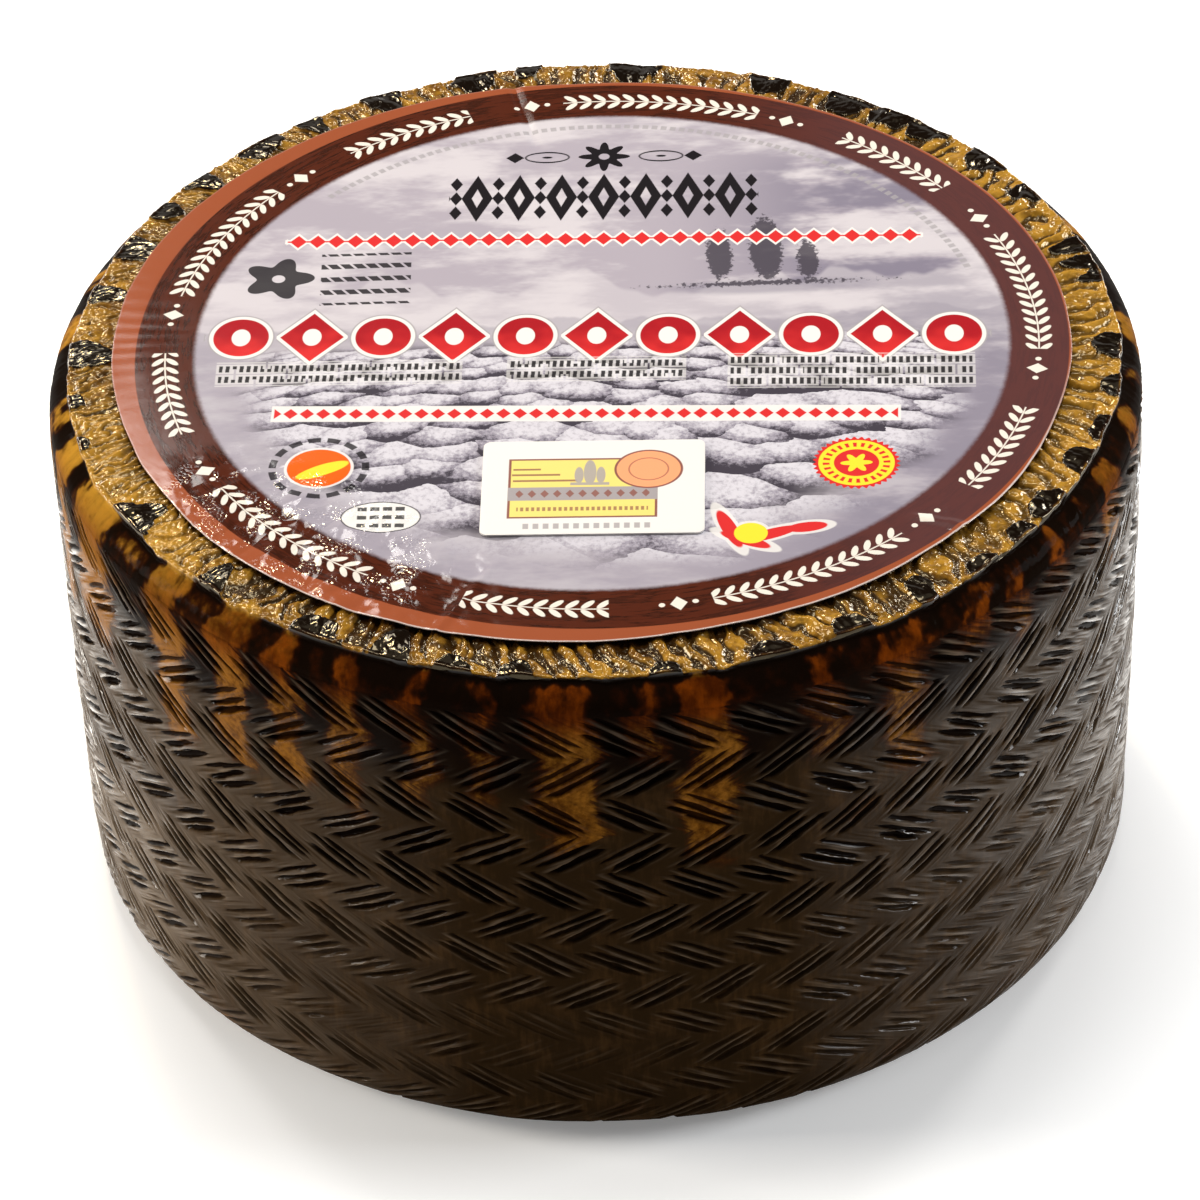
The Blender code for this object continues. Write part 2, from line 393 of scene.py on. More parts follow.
# %% [markdown]
# ## Where the golden ground shows
#
# The rind's ground is golden. The dark paint is thick where it ran over the edge in blots, about
# one to each group of grooves, and it covers nearly all of the side. Between the blots the gold
# shows in blocks on the collar and runs on as columns that fade out after three or four bands.
# Both are laid out in two tables: the blocks by their azimuth from the front, half width, how far
# down they reach and how strong they are, the blots by azimuth, half width and how far in they
# reach on the top.

# %% Layout of gold and paint
GOLD = np.array([
    [-173, 2.0, 30, 0.8], [-161, 2.4, 22, 0.9], [-150.5, 2.0, 34, 0.7], [-133, 1.8, 18, 0.8],
    [-125.5, 1.4, 28, 0.6], [-118, 1.8, 36, 0.9], [-109, 2.2, 20, 0.8], [-99, 2.6, 30, 1.0],
    [-84, 2.6, 26, 0.8], [-76.5, 2.6, 36, 0.9], [-66.3, 4.8, 30, 1.0], [-50.5, 2.7, 34, 1.0],
    [-41.3, 2.3, 33, 0.95], [-34.0, 2.0, 32, 0.9], [-27.2, 2.0, 33, 0.75], [-19.5, 2.0, 32, 0.65],
    [-12.8, 1.7, 28, 0.6], [-4.4, 3.2, 35, 0.95], [3.2, 2.0, 17, 0.6], [10.2, 2.7, 41, 0.95],
    [22.3, 1.8, 25, 0.6], [31.2, 2.7, 31, 0.7], [40.7, 2.7, 16, 0.65], [46.6, 2.2, 18, 0.6],
    [53.5, 2.2, 14, 0.65], [60.0, 1.6, 16, 0.5], [66.5, 3.0, 20, 0.9], [76.5, 2.4, 16, 0.7],
    [84, 1.6, 24, 0.6], [93, 2.8, 30, 0.9], [113, 2.8, 26, 0.9], [122.5, 1.5, 18, 0.7],
    [131.5, 1.3, 12, 0.6], [152.5, 2.2, 34, 0.9], [165.5, 4.0, 28, 1.0],
])
BLOTS = np.array([
    [-173.5, 1.7, 4], [-167, 2.7, 8], [-155.5, 2.5, 8], [-146, 2.0, 7], [-139, 3.4, 5],
    [-129, 2.2, 7], [-122, 2.2, 6], [-114, 2.3, 8], [-104.5, 1.8, 8], [-92.5, 2.6, 8],
    [-84, 1.3, 3], [-75.5, 1.6, 2.5], [-60.5, 2.9, 8], [-46, 2.0, 8], [-32, 3.0, 6],
    [-23, 2.3, 8], [-16, 2.2, 4], [-9.5, 1.9, 3.5], [6.2, 1.9, 3.5], [17.5, 2.6, 4],
    [26.5, 2.3, 5], [36.2, 1.4, 7], [44.2, 2.3, 4], [51, 2.0, 4], [56.5, 2.6, 5],
    [65, 2.8, 4.5], [72, 3.0, 3.5], [80, 2.2, 4], [87, 2.4, 5], [101, 1.5, 6], [104, 1.4, 7],
    [107, 1.6, 7], [119, 1.9, 5], [127.3, 2.7, 6], [136, 2.6, 5], [141, 2.8, 6.5],
    [147, 3.0, 7], [157.8, 2.8, 7], [174, 2.9, 8],
])


def paint_layout(azimuth, rows):
    """Distance from the nearest row's middle over its half width, and that row's other values."""
    best = np.full(azimuth.shape, 9.0)
    number = np.zeros(azimuth.shape, int)
    for index, row in enumerate(rows):
        away = np.abs((azimuth - row[0] + 180) % 360 - 180) / row[1]
        nearer = away < best
        best[nearer], number[nearer] = away[nearer], index
    return best, rows[number, 2:]


print("golden blocks:", len(GOLD), "blots:", len(BLOTS))

# %% [markdown]
# The gold's columns keep upright on the whole but swing a little with each band. Their sides are
# ragged, because paint wiped along the grooves: each groove shifts the column's side by its own
# small amount.

# %% Gold on the side, the collar and the rim
LIP_REACH = TOP_EDGE * math.radians(25)
SWING, SMEAR_MM, WANDER_MM = 0.12, 0.5, 1.7
swing = SWING * (slide - BELT_SLIDE / 2) * on_belt
groove_number = np.floor(turn * around + 0.5).astype(int) % around
band_number = np.clip(np.floor(band), 0, BANDS - 1).astype(int)
smear = groove_rng.normal(0, SMEAR_MM, (BANDS, around))
finger = np.where(on_belt, smear[band_number, groove_number], 0)
wander = WANDER_MM * layered_noise(place, reach / 120, 90, 24, 71)
mm_to_degrees = 180 / math.pi / RIM_RADIUS
wiped = np.where(on_belt, layered_noise(turn, band / BANDS, 1000, 40, 87, 2), 0.0)
gold_away, gold_row = paint_layout(azimuth + mm_to_degrees * (wander + finger - swing), GOLD)
gold_away += 0.30 * wiped
gold_fade = 1 - smooth(-7, 6, depth_mm - gold_row[..., 0] + 3 * finger + 2 * wander)
gold_side = (1 - smooth(0.35, 1.6, gold_away)) * gold_fade * gold_row[..., 1]
gold_side *= 0.88 + 0.22 * wiped

warm_spots = smooth(0.75, 1.15, layered_noise(place, down, 40, 18, 333)) * 0.4
warm_foot = smooth(0.83, 0.93, down) * (0.35 + 0.35 * layered_noise(place, down, 30, 10, 91))
warm = np.maximum(warm_spots * on_belt, warm_foot) * (0.4 + groove_rim)
gold_side = np.clip(np.maximum(gold_side, warm), 0, 1)

blot_wander = layered_noise(place, reach / 30, 110, 7, 17)
blot_away, blot_row = paint_layout(azimuth + mm_to_degrees * blot_wander, BLOTS)
inward = np.clip(LIP_REACH - reach + 0.8 * blot_wander, 0, None) / blot_row[..., 0]
blot_width = np.sqrt(np.clip(1 - inward**1.6, 0, 1))
blot = 1 - smooth(0.45, 1.45, blot_away / np.maximum(blot_width, 0.05))
blot *= smooth(0.1, 0.4, blot_width)
print("share of gold on the side:", round(float(gold_side[on_belt].mean()), 3))

# %% [markdown]
# ## The rim of the top
#
# The upper board leaves short ridges like the strands of a rope, as many as there are grooves on
# the side. They lie across the rim, lean a little to one side or the other from place to place,
# break into lumps, and are finer on the left. The valleys get painted shade, wider at the front,
# and blots smooth the ridges over with a domed skin of their own.

# %% Ridges on the rim
LEAN_AT = [-180, -90, -60, -40, -22, -5, 15, 30, 45, 68, 84, 110, 145, 180]
LEAN = [0.05, 0.25, 0.10, -0.30, 0.25, 0.55, 0.35, 0.0, -0.30, -0.60, 0.20, 0.25, -0.15, 0.05]
FAT_AT, FAT = [-180, -150, -130, -60, -42, 140, 180], [0.7, 0.7, 0.15, 0.1, 1, 1, 0.7]
RIDGE_RADIUS, RIDGE_HEIGHT, END_HEIGHT, BLOT_FLATTENS = 90, 0.90, 0.55, 0.72
RIDGE_PITCH = 2 * math.pi * RIDGE_RADIUS / around


def rim_noise(cells_around, cells_across, seed):
    """Noise from -1 to 1 over the rim, with as many cells round it and across it."""
    return noise(place, across_rim, cells_around, cells_across, seed)


ridge_lean = np.interp(azimuth, LEAN_AT, LEAN)
across_rim = 0.5 + reach / 40
ridge_sway = 0.50 * rim_noise(110, 7, 41) + 0.24 * rim_noise(290, 16, 42)
ridge_across = place * around - ridge_lean * reach / RIDGE_PITCH + ridge_sway
ridge_number = np.round(ridge_across).astype(int) % around
ridge_width = groove_rng.uniform(0.30, 0.48, around)[ridge_number]
ridge_height = groove_rng.uniform(0.35, 1.10, around)[ridge_number]
ridge_end = groove_rng.normal(1.8, 0.8, around)[ridge_number]
ridge_tone = groove_rng.uniform(0, 1, around)[ridge_number]
k = ridge_across - np.round(ridge_across)
lump = rim_noise(430, 22, 44)
rope = np.clip(1 - np.abs(k / (ridge_width * (1 + 0.25 * lump))) ** 1.9, 0, 1) ** 0.85
rope *= ridge_height * (1 - 0.30 * np.clip(rim_noise(288, 26, 45), 0, 1))
fine_across = 2 * ridge_across + 0.3
thread = bell(fine_across - np.round(fine_across), 0.2) * (0.55 + 0.45 * rim_noise(288, 12, 43))
fatness = np.interp(azimuth, FAT_AT, FAT)
ridge = fatness * rope + (1 - fatness) * (0.35 + 0.65 * thread)
ridge_ends = 1 - smooth(-0.7, 0.7, reach - ridge_end)
crinkle = layered_noise(place, across_rim, 800, 40, 47)
strand_k = (3 * ridge_across + 0.6 * rim_noise(300, 10, 46)) % 1 - 0.5
strand = bell(strand_k, 0.16) * smooth(-0.5, 0.5, rim_noise(350, 12, 48))
rim_relief = -RIDGE_HEIGHT + RIDGE_HEIGHT * ridge * ridge_ends + END_HEIGHT * (1 - ridge_ends)
rim_relief += 0.15 * crinkle - 0.20 * strand
lobes = layered_noise(place, across_rim, 200, 16, 53, 2)
held = (0.45 - ridge) * 0.6 + 0.25 * lump
blot = smooth(0.36, 0.64, blot + 4 * blot * (1 - blot) * held)
blot_dome = smooth(0.0, 0.8, blot)
blot_skin = 0.10 + 0.26 * rim_noise(150, 9, 54)
rim_relief = rim_relief * (1 - BLOT_FLATTENS * blot_dome) + blot_dome * blot_skin
print("ridges on the rim:", around, "pitch, mm:", round(RIDGE_PITCH, 2))

# %% [markdown]
# ## Lip and collar
#
# Paint and wax gathered in a thin lip where the rim turns over. Under it the collar is pressed
# smooth by the hem of the belt. A band right under the lip is darkened with painted shadow: nearly
# black at the front, fading out towards the left, where the gold runs over the edge without a
# break. Below it the gold shows as soft flame-shaped blocks, a little proud of the paint between
# them. A faint line, darkened with painted shade, ends the collar.
#
# The belt's own relief joins in here: the grooves with their raised rims, a slow swell, and the
# fine lines that the plait's fibres left beside the grooves, strongest at the right.

# %% Lip and collar relief
COLLAR_SINK, BELT_SINK, BEAD_HEIGHT, HEM_DEPTH, RIM_LIFT = 0.38, 0.26, 0.38, 0.15, 0.14
FIBRE_AT = [-180, -75, -45, -15, 30, 55, 75, 100, 180]
FIBRE = [0.03, 0.08, 0.06, 0.02, 0.02, 0.11, 0.13, 0.10, 0.03]
lip_shift = 0.45 * layered_noise(place, 0.5, 60, 1, 61) + 0.25 * noise(place, 0.5, 300, 1, 62)
from_lip = reach - LIP_REACH - lip_shift
bare = 1 - smooth(0.45, 1.5, gold_away)
under_lip = window(from_lip, 0.0, 0.5, 1.2, 6.5)
bulge = bell(from_lip - 4.0, 1.8) * bare
bead = bell(from_lip + 0.35, 0.50) * (0.75 + 0.5 * noise(place, 0.5, 240, 1, 64))
blotch = layered_noise(place, depth_mm / 40, 260, 14, 111)
streaks = layered_noise(place, 0.5 + reach / 60, 620, 8, 67)
collar_relief = -under_lip * (0.45 + 0.25 * (1 - bare)) - COLLAR_SINK + 0.03 * (bulge + streaks)
hem = bell(depth_mm - COLLAR + 0.15 + 0.2 * noise(place, 0.5, 48, 1, 63), 0.3)
hem *= 0.25 + 0.35 * smooth(-0.2, 0.6, noise(place, 0.5, 24, 1, 65))

fibre_lines = layered_noise(turn, band / BANDS, 900, 36, 101, 2)
fibre_lines *= 0.35 + 0.65 * np.sin(math.pi * (band % 1))
belt_relief = RIM_LIFT * groove_rim - groove_depth - BELT_SINK
belt_relief += 0.12 * layered_noise(place, down, 36, 12, 83)
belt_relief += 0.03 * layered_noise(place, down, 300, 60, 84)
belt_relief += np.interp(azimuth, FIBRE_AT, FIBRE) * fibre_lines
on_rim = 1 - smooth(-0.25, 0.25, from_lip)


def by_zone(belt, rim, collar):
    """The belt's value on the belt, and above it the rim's and the collar's, blended at the lip."""
    return np.where(on_belt, belt, on_rim * rim + (1 - on_rim) * collar)


relief = by_zone(belt_relief, rim_relief, collar_relief)
relief += BEAD_HEIGHT * bead * ~on_belt - HEM_DEPTH * hem
print("collar pressed in, mm:", COLLAR_SINK, "belt, mm:", BELT_SINK)

# %% [markdown]
# The photograph doesn't show the underside. The lower board prints much the same marks as the
# upper one, so the base gets low slanted ribs in rings. They are pressed in, never raised, and the
# wheel still stands flat.

# %% Underside relief
RIB_COUNT, RIB_RING, RIB_DEPTH, RIB_WIDTH = 96, 14.0, 0.45, 0.2
HIDDEN_REACH = -7.5
on_base = (height <= 0) & (np.arange(len(row_height))[:, None] >= belt_end)
base_r = np.repeat(row_radius[:, None], COLUMNS, axis=1)
rib_ring = base_r / RIB_RING
rib_lean = 1 - 2 * (np.floor(rib_ring) % 2)
rib_k = (place * RIB_COUNT + rib_lean * (rib_ring % 1) * 1.5) % 1 - 0.5
rib = bell(rib_k, RIB_WIDTH) * window(rib_ring % 1, 0.0, 0.15, 0.85, 1.0)
rib *= window(base_r, 20, 30, 84, 87)
base_unevenness = 0.03 * (1 + crinkle / 2) * smooth(10, 20, base_r)
relief = np.where(on_base, -RIB_DEPTH * rib - base_unevenness, relief)
relief = np.where(reach < HIDDEN_REACH, 0, relief)
print("relief, mm:", round(float(relief.min()), 2), "to", round(float(relief.max()), 2))

# %% [markdown]
# ## Marks for the finish
#
# Each vertex carries six numbers that the material reads: how much gold shows, how thick and
# black the paint is, how amber the gold is, which is also painted shade at the front, how much
# painted shade darkens a cut, a valley, the hem's line or the rim by the label's edge, with a
# random brown tone on some ridges, how much painted highlight and sheen lighten a crest or a
# flank, and how glossy the skin is. The tables give a value by azimuth from the front.
#
# Between the golden blocks the paint under the lip is thin and lets some warmth through.

# %% Shade and gold
DARK_AT = [-180, -75, -38, -22, 30, 60, 90, 180]
# How dark the painted shadow under the lip is, by azimuth.
LIP_SHADOW = [0.2, 0.05, 0.1, 0.80, 1.0, 0.85, 0.5, 0.3]
# How amber the collar is, by azimuth; its fullness at the front is partly painted shade.
AMBER_AND_SHADE = [0.5, 0.10, 0.85, 1.0, 1.0, 0.9, 0.5, 0.5]
WARM_AT = [-180, -85, -70, -40, -25, 20, 50, 70, 80, 180]
WARM = [0, 0, 0.50, 0.48, 0.28, 0.28, 0.34, 0.34, 0, 0]
FRONT_AT, FRONT = [-180, -60, -40, 40, 70, 180], [0.3, 0.3, 1, 1, 0.5, 0.3]
# Painted shadow under the lip: a dark band, nearly black at the front and faint at the left.
lip_shadow = np.interp(azimuth, DARK_AT, LIP_SHADOW)
flame = from_lip - 0.8 * np.clip(gold_away, 0, 1.5) ** 2 + 0.2 * streaks + 0.8 * blotch
flame = smooth(0.3, 1.9, flame)

# The rim's painted shade is weighted by azimuth, fullest at the front.
front_share = np.interp(azimuth, FRONT_AT, FRONT)
# Painted shade in the valleys between ridges, wider at the front.
valley = smooth(0.42 + 0.12 * front_share, 0.0, ridge) * ridge_ends * fatness
valley += 0.35 * smooth(0.7, 0.3, ridge) * (1 - fatness)
# A random brown tone on some ridges, deepened towards the front as painted shade, and painted shade
# in the fine strand lines.
ridge_tone_and_shade = 0.36 * smooth(0.2, 0.9, ridge_tone) + 0.30 * smooth(0.0, 0.9, lobes)
ridge_tone_and_shade = ridge_tone_and_shade * (0.25 + 0.75 * front_share) + 0.35 * strand
# Painted shadow on the rim beside the label's edge, at the front.
label_edge_shadow = smooth(-4.2, -5.6, reach + 0.5 * lump) * front_share
rim_shade = 0.9 * valley + ridge_tone_and_shade * (1 - bead) + 0.6 * label_edge_shadow
rim_shade = np.clip(rim_shade, 0, 1) * (1 - blot)
# Less painted shade on the rim at the right.
rim_shade *= 1 - 0.4 * window(azimuth, 30, 50, 100, 130)
# Painted shade in the grooves, lighter low on the front.
belt_shade = smooth(0.12, 0.62, groove_cut) * (1 - 0.60 * smooth(0.38, 0.62, down) * front_share)
shade = by_zone(belt_shade, rim_shade, 0)
shade = np.clip(np.maximum(shade, hem), 0, 1) * ~on_base

rim_gold = (1 - blot) * (1 - bead) + bead * (0.55 + 0.45 * (1 - blot))
# Under the lip the gold gives way to dark paint as far as the painted shadow reaches.
collar_gold = smooth(0.08, 0.85, gold_side + 0.24 * blotch) * (1 - lip_shadow * (1 - flame))
collar_gold *= 0.85 + 0.15 * streaks
warm_gap = np.interp(azimuth, WARM_AT, WARM) * (0.6 + 0.6 * blotch)
warm_gap *= 1 - smooth(10, 19, depth_mm)
collar_gold = np.maximum(collar_gold, warm_gap * smooth(0.3, 1.8, from_lip))
side_gold = np.maximum(gold_side, warm_gap * (1 - 0.6 * groove_cut))
gold = by_zone(side_gold, rim_gold, collar_gold)
gold = np.where(on_base, 0.25 + 0.2 * layered_noise(place, base_r / 100, 30, 8, 97), gold)
# Amber under the lip: partly the resin's own colour, partly painted shade, fullest at the front and
# faint at the left.
amber_and_shade = smooth(-0.2, 1.2, from_lip) * (1 - smooth(6.5, 13.0, depth_mm))
amber_and_shade *= np.interp(azimuth, DARK_AT, AMBER_AND_SHADE)
print("share of the rind in shade:", round(float((shade > 0.5).mean()), 3))

# %% [markdown]
# The paint is thick at the top and thins out below a line that lies a little higher at the sides.
# Below it a painted sheen lightens the flats to a dull brown at the sides, and painted highlights
# lighten the groove rims; the coat's gloss there is a thin sheen too. The fibre lines break both
# up.

# %% Paint, painted highlights and sheen, and gloss
PAINT_END_AT, PAINT_END = [-75, -45, 38, 55], [-0.04, 0, 0, -0.07]
SHEEN_AT = [-180, -120, -95, -60, -45, -15, 18, 47, 62, 95, 125, 180]
PAINTED_SHEEN_AMOUNT = [0.15, 0.3, 0.90, 0.90, 0.60, 0.0, 0.0, 0.28, 0.45, 0.55, 0.3, 0.15]
SHEEN = [0.1, 0.2, 0.40, 0.32, 0.10, 0.0, 0.0, 0.28, 0.44, 0.56, 0.2, 0.1]
GROOVE_HIGHLIGHT_AT = [-180, -70, -50, -20, 25, 50, 70, 180]
PAINTED_GROOVE_HIGHLIGHT = [1.2, 1.5, 1.3, 0.60, 0.55, 1.2, 1.5, 1.2]
LACQUER_AT = [-180, -80, -55, -35, 45, 70, 180]
LACQUER = [0.15, 0.03, 0.02, 0.01, 0.01, 0.04, 0.15]
BASE_GLOSS = 0.03
paint_end = np.interp(azimuth, PAINT_END_AT, PAINT_END)
thinned = smooth(0.15, 0.27, down - paint_end + 0.015 * wander - 0.03 * groove_cut)
thick = np.where(on_base, 0.0, 1 - thinned * on_belt)
# Painted sheen on the flats, strongest at the sides and lower down.
painted_sheen = np.interp(azimuth, SHEEN_AT, PAINTED_SHEEN_AMOUNT) * (0.8 + 0.5 * smooth(0.3, 0.8, down))
painted_sheen *= 0.75 + 0.35 * layered_noise(place, down, 24, 8, 89)
painted_sheen *= np.clip(1 + 0.7 * fibre_lines, 0, 2)
# Painted highlight on the groove rims, strongest at the sides and lower down.
painted_groove_highlight = np.interp(azimuth, GROOVE_HIGHLIGHT_AT, PAINTED_GROOVE_HIGHLIGHT) * (0.8 + 0.5 * noise(place, down, 400, 60, 93))
painted_groove_highlight *= groove_rim * (1 + 0.6 * smooth(0.40, 0.65, down))
# The painted highlight and sheen mark: the brighter of the two, on the belt.
painted_highlight_and_sheen = np.maximum(painted_groove_highlight, painted_sheen * (1 - groove_cut) * (1 - thick)) * on_belt

lacquer = np.interp(azimuth, LACQUER_AT, LACQUER)
sheen = np.interp(azimuth, SHEEN_AT, SHEEN) * (1 - 0.95 * groove_cut)
sheen *= (0.06 + 0.94 * smooth(0.09, 0.19, down)) * np.clip(1 + 1.3 * fibre_lines, 0.1, 2.4)
side_gloss = (0.06 + lacquer + 2.2 * sheen) * groove_rim + sheen
side_gloss += 0.6 * lacquer * (1 - smooth(0.10, 0.30, down))
rim_gloss = 1 - 0.75 * rim_shade * (1 - blot)
collar_gloss = 0.08 * bead + 0.35 * lacquer * smooth(0.0, 0.6, from_lip)
gloss = np.where(on_base, BASE_GLOSS, by_zone(side_gloss, rim_gloss, collar_gloss))
print("share of thick paint:", round(float(thick.mean()), 2))

# %% [markdown]
# ## The rind in nine pieces
#
# The grid is cut between rows. Each piece stays under two hundred thousand triangles, and the
# poles in the middle of the top and the base are closed with a fan.

# %% Build the rind
theta = 2 * math.pi * place - math.pi / 2
shell_radius = row_radius[:, None] + relief * out_r[:, None]
shell_height = np.maximum(height + relief * out_z[:, None], 0.0)
rind_points = np.stack(
    [shell_radius * np.cos(theta), shell_radius * np.sin(theta), shell_height], axis=2
)
rind_normals = grid_normals(rind_points)
rind_marks = dict(gold=gold, thick=thick, amber_and_shade=amber_and_shade, shade=shade, painted_highlight_and_sheen=painted_highlight_and_sheen, gloss=gloss)
print("points of the rind:", turn.size)

# %% [markdown]
# ## Materials as expressions
#
# A Blender material is a tree of small nodes. Long trees are hard to read, so two small classes
# let Python's own signs build them. A `Value` stands for one output socket: adding two of them
# adds a Math node and gives back a new `Value`. A `Finish` holds one material and makes all other
# nodes. Lengths inside a material are in millimetres too.


# %% Values
class Value:
    """One output socket. Arithmetic on it adds Math nodes, so 1 - mask works as it reads. Of two
    distances, low gives both shapes together and high what both of them cover."""

    def __init__(self, finish, socket):
        self.finish, self.socket = finish, socket

    def math(self, operation, *others):
        """A Math node with this value first."""
        return self.finish.maths(operation, self, *others)

    def __rsub__(self, other):
        """A number less this value."""
        return self.finish.maths("SUBTRACT", other, self)

    __add__ = __radd__ = partialmethod(math, "ADD")
    __mul__ = __rmul__ = partialmethod(math, "MULTIPLY")
    __sub__ = partialmethod(math, "SUBTRACT")
    __truediv__ = partialmethod(math, "DIVIDE")
    __pow__ = partialmethod(math, "POWER")
    __abs__ = partialmethod(math, "ABSOLUTE")
    low = partialmethod(math, "MINIMUM")
    high = partialmethod(math, "MAXIMUM")

    def repeat(self, pitch):
        """Distance from the nearest multiple of pitch."""
        return self - (self / pitch).math("ROUND") * pitch

    def odd(self, pitch):
        """1 where the nearest multiple of pitch is an odd one, 0 where it is even."""
        return (self / pitch).math("ROUND").math("PINGPONG", 1.0)

    def rise(self, start, end):
        """0 up to start, 1 from end on, with a soft step between them."""
        return self.finish.node(
            "ShaderNodeMapRange", {"interpolation_type": "SMOOTHSTEP"}, {0: self, 1: start, 2: end}
        )


# %% [markdown]
# A `Finish` makes the nodes. Its helpers cover what all materials here need: the object's own
# place in millimetres, soft noise, the marks that the mesh carries, and the shader with its bump.


# %% Finishes
class Finish:
    """One material, with a Principled shader whose sockets take numbers or Values. The noise of
    a flat one has no depth, which is quicker."""

    def __init__(self, name, world=None, flat=False):
        self.flat = flat
        self.material = None if world else bpy.data.materials.new(name)
        owner = world or self.material
        owner.use_nodes = True
        self.tree = owner.node_tree
        self.tree.nodes.clear()

    def node(self, kind, settings=None, inputs=None, output=0):
        """Any node: its settings first, then its sockets by name or number, then one output."""
        made = self.tree.nodes.new(kind)
        for name, value in (settings or {}).items():
            setattr(made, name, value)
        for key, value in (inputs or {}).items():
            if isinstance(value, Value):
                self.tree.links.new(value.socket, made.inputs[key])
            else:
                made.inputs[key].default_value = value
        return Value(self, made.outputs[output]) if made.outputs else None

    def maths(self, operation, *values):
        """A Math node by its operation's name."""
        return self.node("ShaderNodeMath", {"operation": operation}, dict(enumerate(values)))

    def mix(self, under, over, share):
        """The colour under, with the colour over on top of it as far as share says."""
        return self.node("ShaderNodeMix", {"data_type": "RGBA"}, {0: share, 6: under, 7: over}, 2)

    def mark(self, name):
        """The number that each vertex carries under this name."""
        return self.node("ShaderNodeAttribute", {"attribute_name": name}, output=2)

    def place(self):
        """The object's own x, y and z in millimetres."""
        metres = self.node("ShaderNodeTexCoord", output=3)
        parts = self.node("ShaderNodeSeparateXYZ", inputs={0: metres}).socket.node.outputs
        return [Value(self, part) * 1000 for part in parts]

    def point(self, x, y, z=0.0):
        """Three numbers joined into one place."""
        return self.node("ShaderNodeCombineXYZ", inputs={0: x, 1: y, 2: z})

    def grain(self, point, size, detail=3.0, rough=0.55):
        """Soft noise from 0 to 1 with features about size across, in the point's own units."""
        return self.node(
            "ShaderNodeTexNoise",
            {"noise_dimensions": "2D" if self.flat else "3D"},
            {"Vector": point, "Scale": 1 / size, "Detail": detail, "Roughness": rough},
        )

    def shader(self, bump=None, bump_height=0.05, **sockets):
        """The Principled shader. bump is a height from 0 to 1, bump_height is in millimetres."""
        if bump is not None:
            bumps = {"Height": bump, "Distance": bump_height * MM, "Strength": 1.0}
            sockets["Normal"] = self.node("ShaderNodeBump", inputs=bumps)
        named = {name.replace("_", " "): value for name, value in sockets.items()}
        principled = self.node("ShaderNodeBsdfPrincipled", inputs=named)
        self.node("ShaderNodeOutputMaterial", inputs={0: principled})
        print(self.material.name, "nodes:", len(self.tree.nodes))
        return self.material


def shade_of(red, green, blue):
    """A colour as light, with 1 as white, and full cover."""
    return (red, green, blue, 1.0)


# %% [markdown]
# ## The rind's finish
#
# Six marks on the vertices say what lies where: gold or dark paint, how thick the paint is, amber
# where it is thin and warm under the lip, which is also painted shade at the front, painted shade
# in the cuts and valleys, painted highlights and sheen on crests and flanks, and gloss. Noise adds
# what is finer than the grid: cloudy gold, streaks in the paint and a fine crinkle.
#
# The side's paint has only a dull sheen of its own, and a clear coat here and there. The rim is
# varnished all over, and the varnish has dried in fine crinkles that break the lamps' mirror
# images up into small sharp lights. So the two share their colours and differ in their gloss.

# %% Rind colours
RIM_GOLD_LIGHT = shade_of(0.42, 0.212, 0.022)
RIM_GOLD_DEEP = shade_of(0.135, 0.054, 0.006)
GOLD_LIGHT = shade_of(0.225, 0.090, 0.011)
GOLD_DEEP = shade_of(0.072, 0.0235, 0.003)
AMBER_LIGHT = shade_of(0.180, 0.036, 0.002)
AMBER_DEEP = shade_of(0.055, 0.010, 0.001)
PAINT = shade_of(0.020, 0.0108, 0.0042)
PAINT_BROWN = shade_of(0.040, 0.0205, 0.0074)
THICK_PAINT = shade_of(0.0050, 0.0024, 0.0012)
# The colour of the painted sheen and highlights.
PAINTED_SHEEN_COLOUR = shade_of(0.155, 0.110, 0.070)
# The next two are colours of painted shade: in the dark paint and where the gold shows.
CAVITY_SHADE = shade_of(0.0030, 0.0013, 0.0007)
GOLD_CAVITY_SHADE = shade_of(0.016, 0.0055, 0.0014)
RIM_BLEND = (97.5, 102.5)
CLOUD, FLECK, STREAK, CRINKLE, FLATTEN = 6.0, 1.3, 1.1, 1.5, 0.18


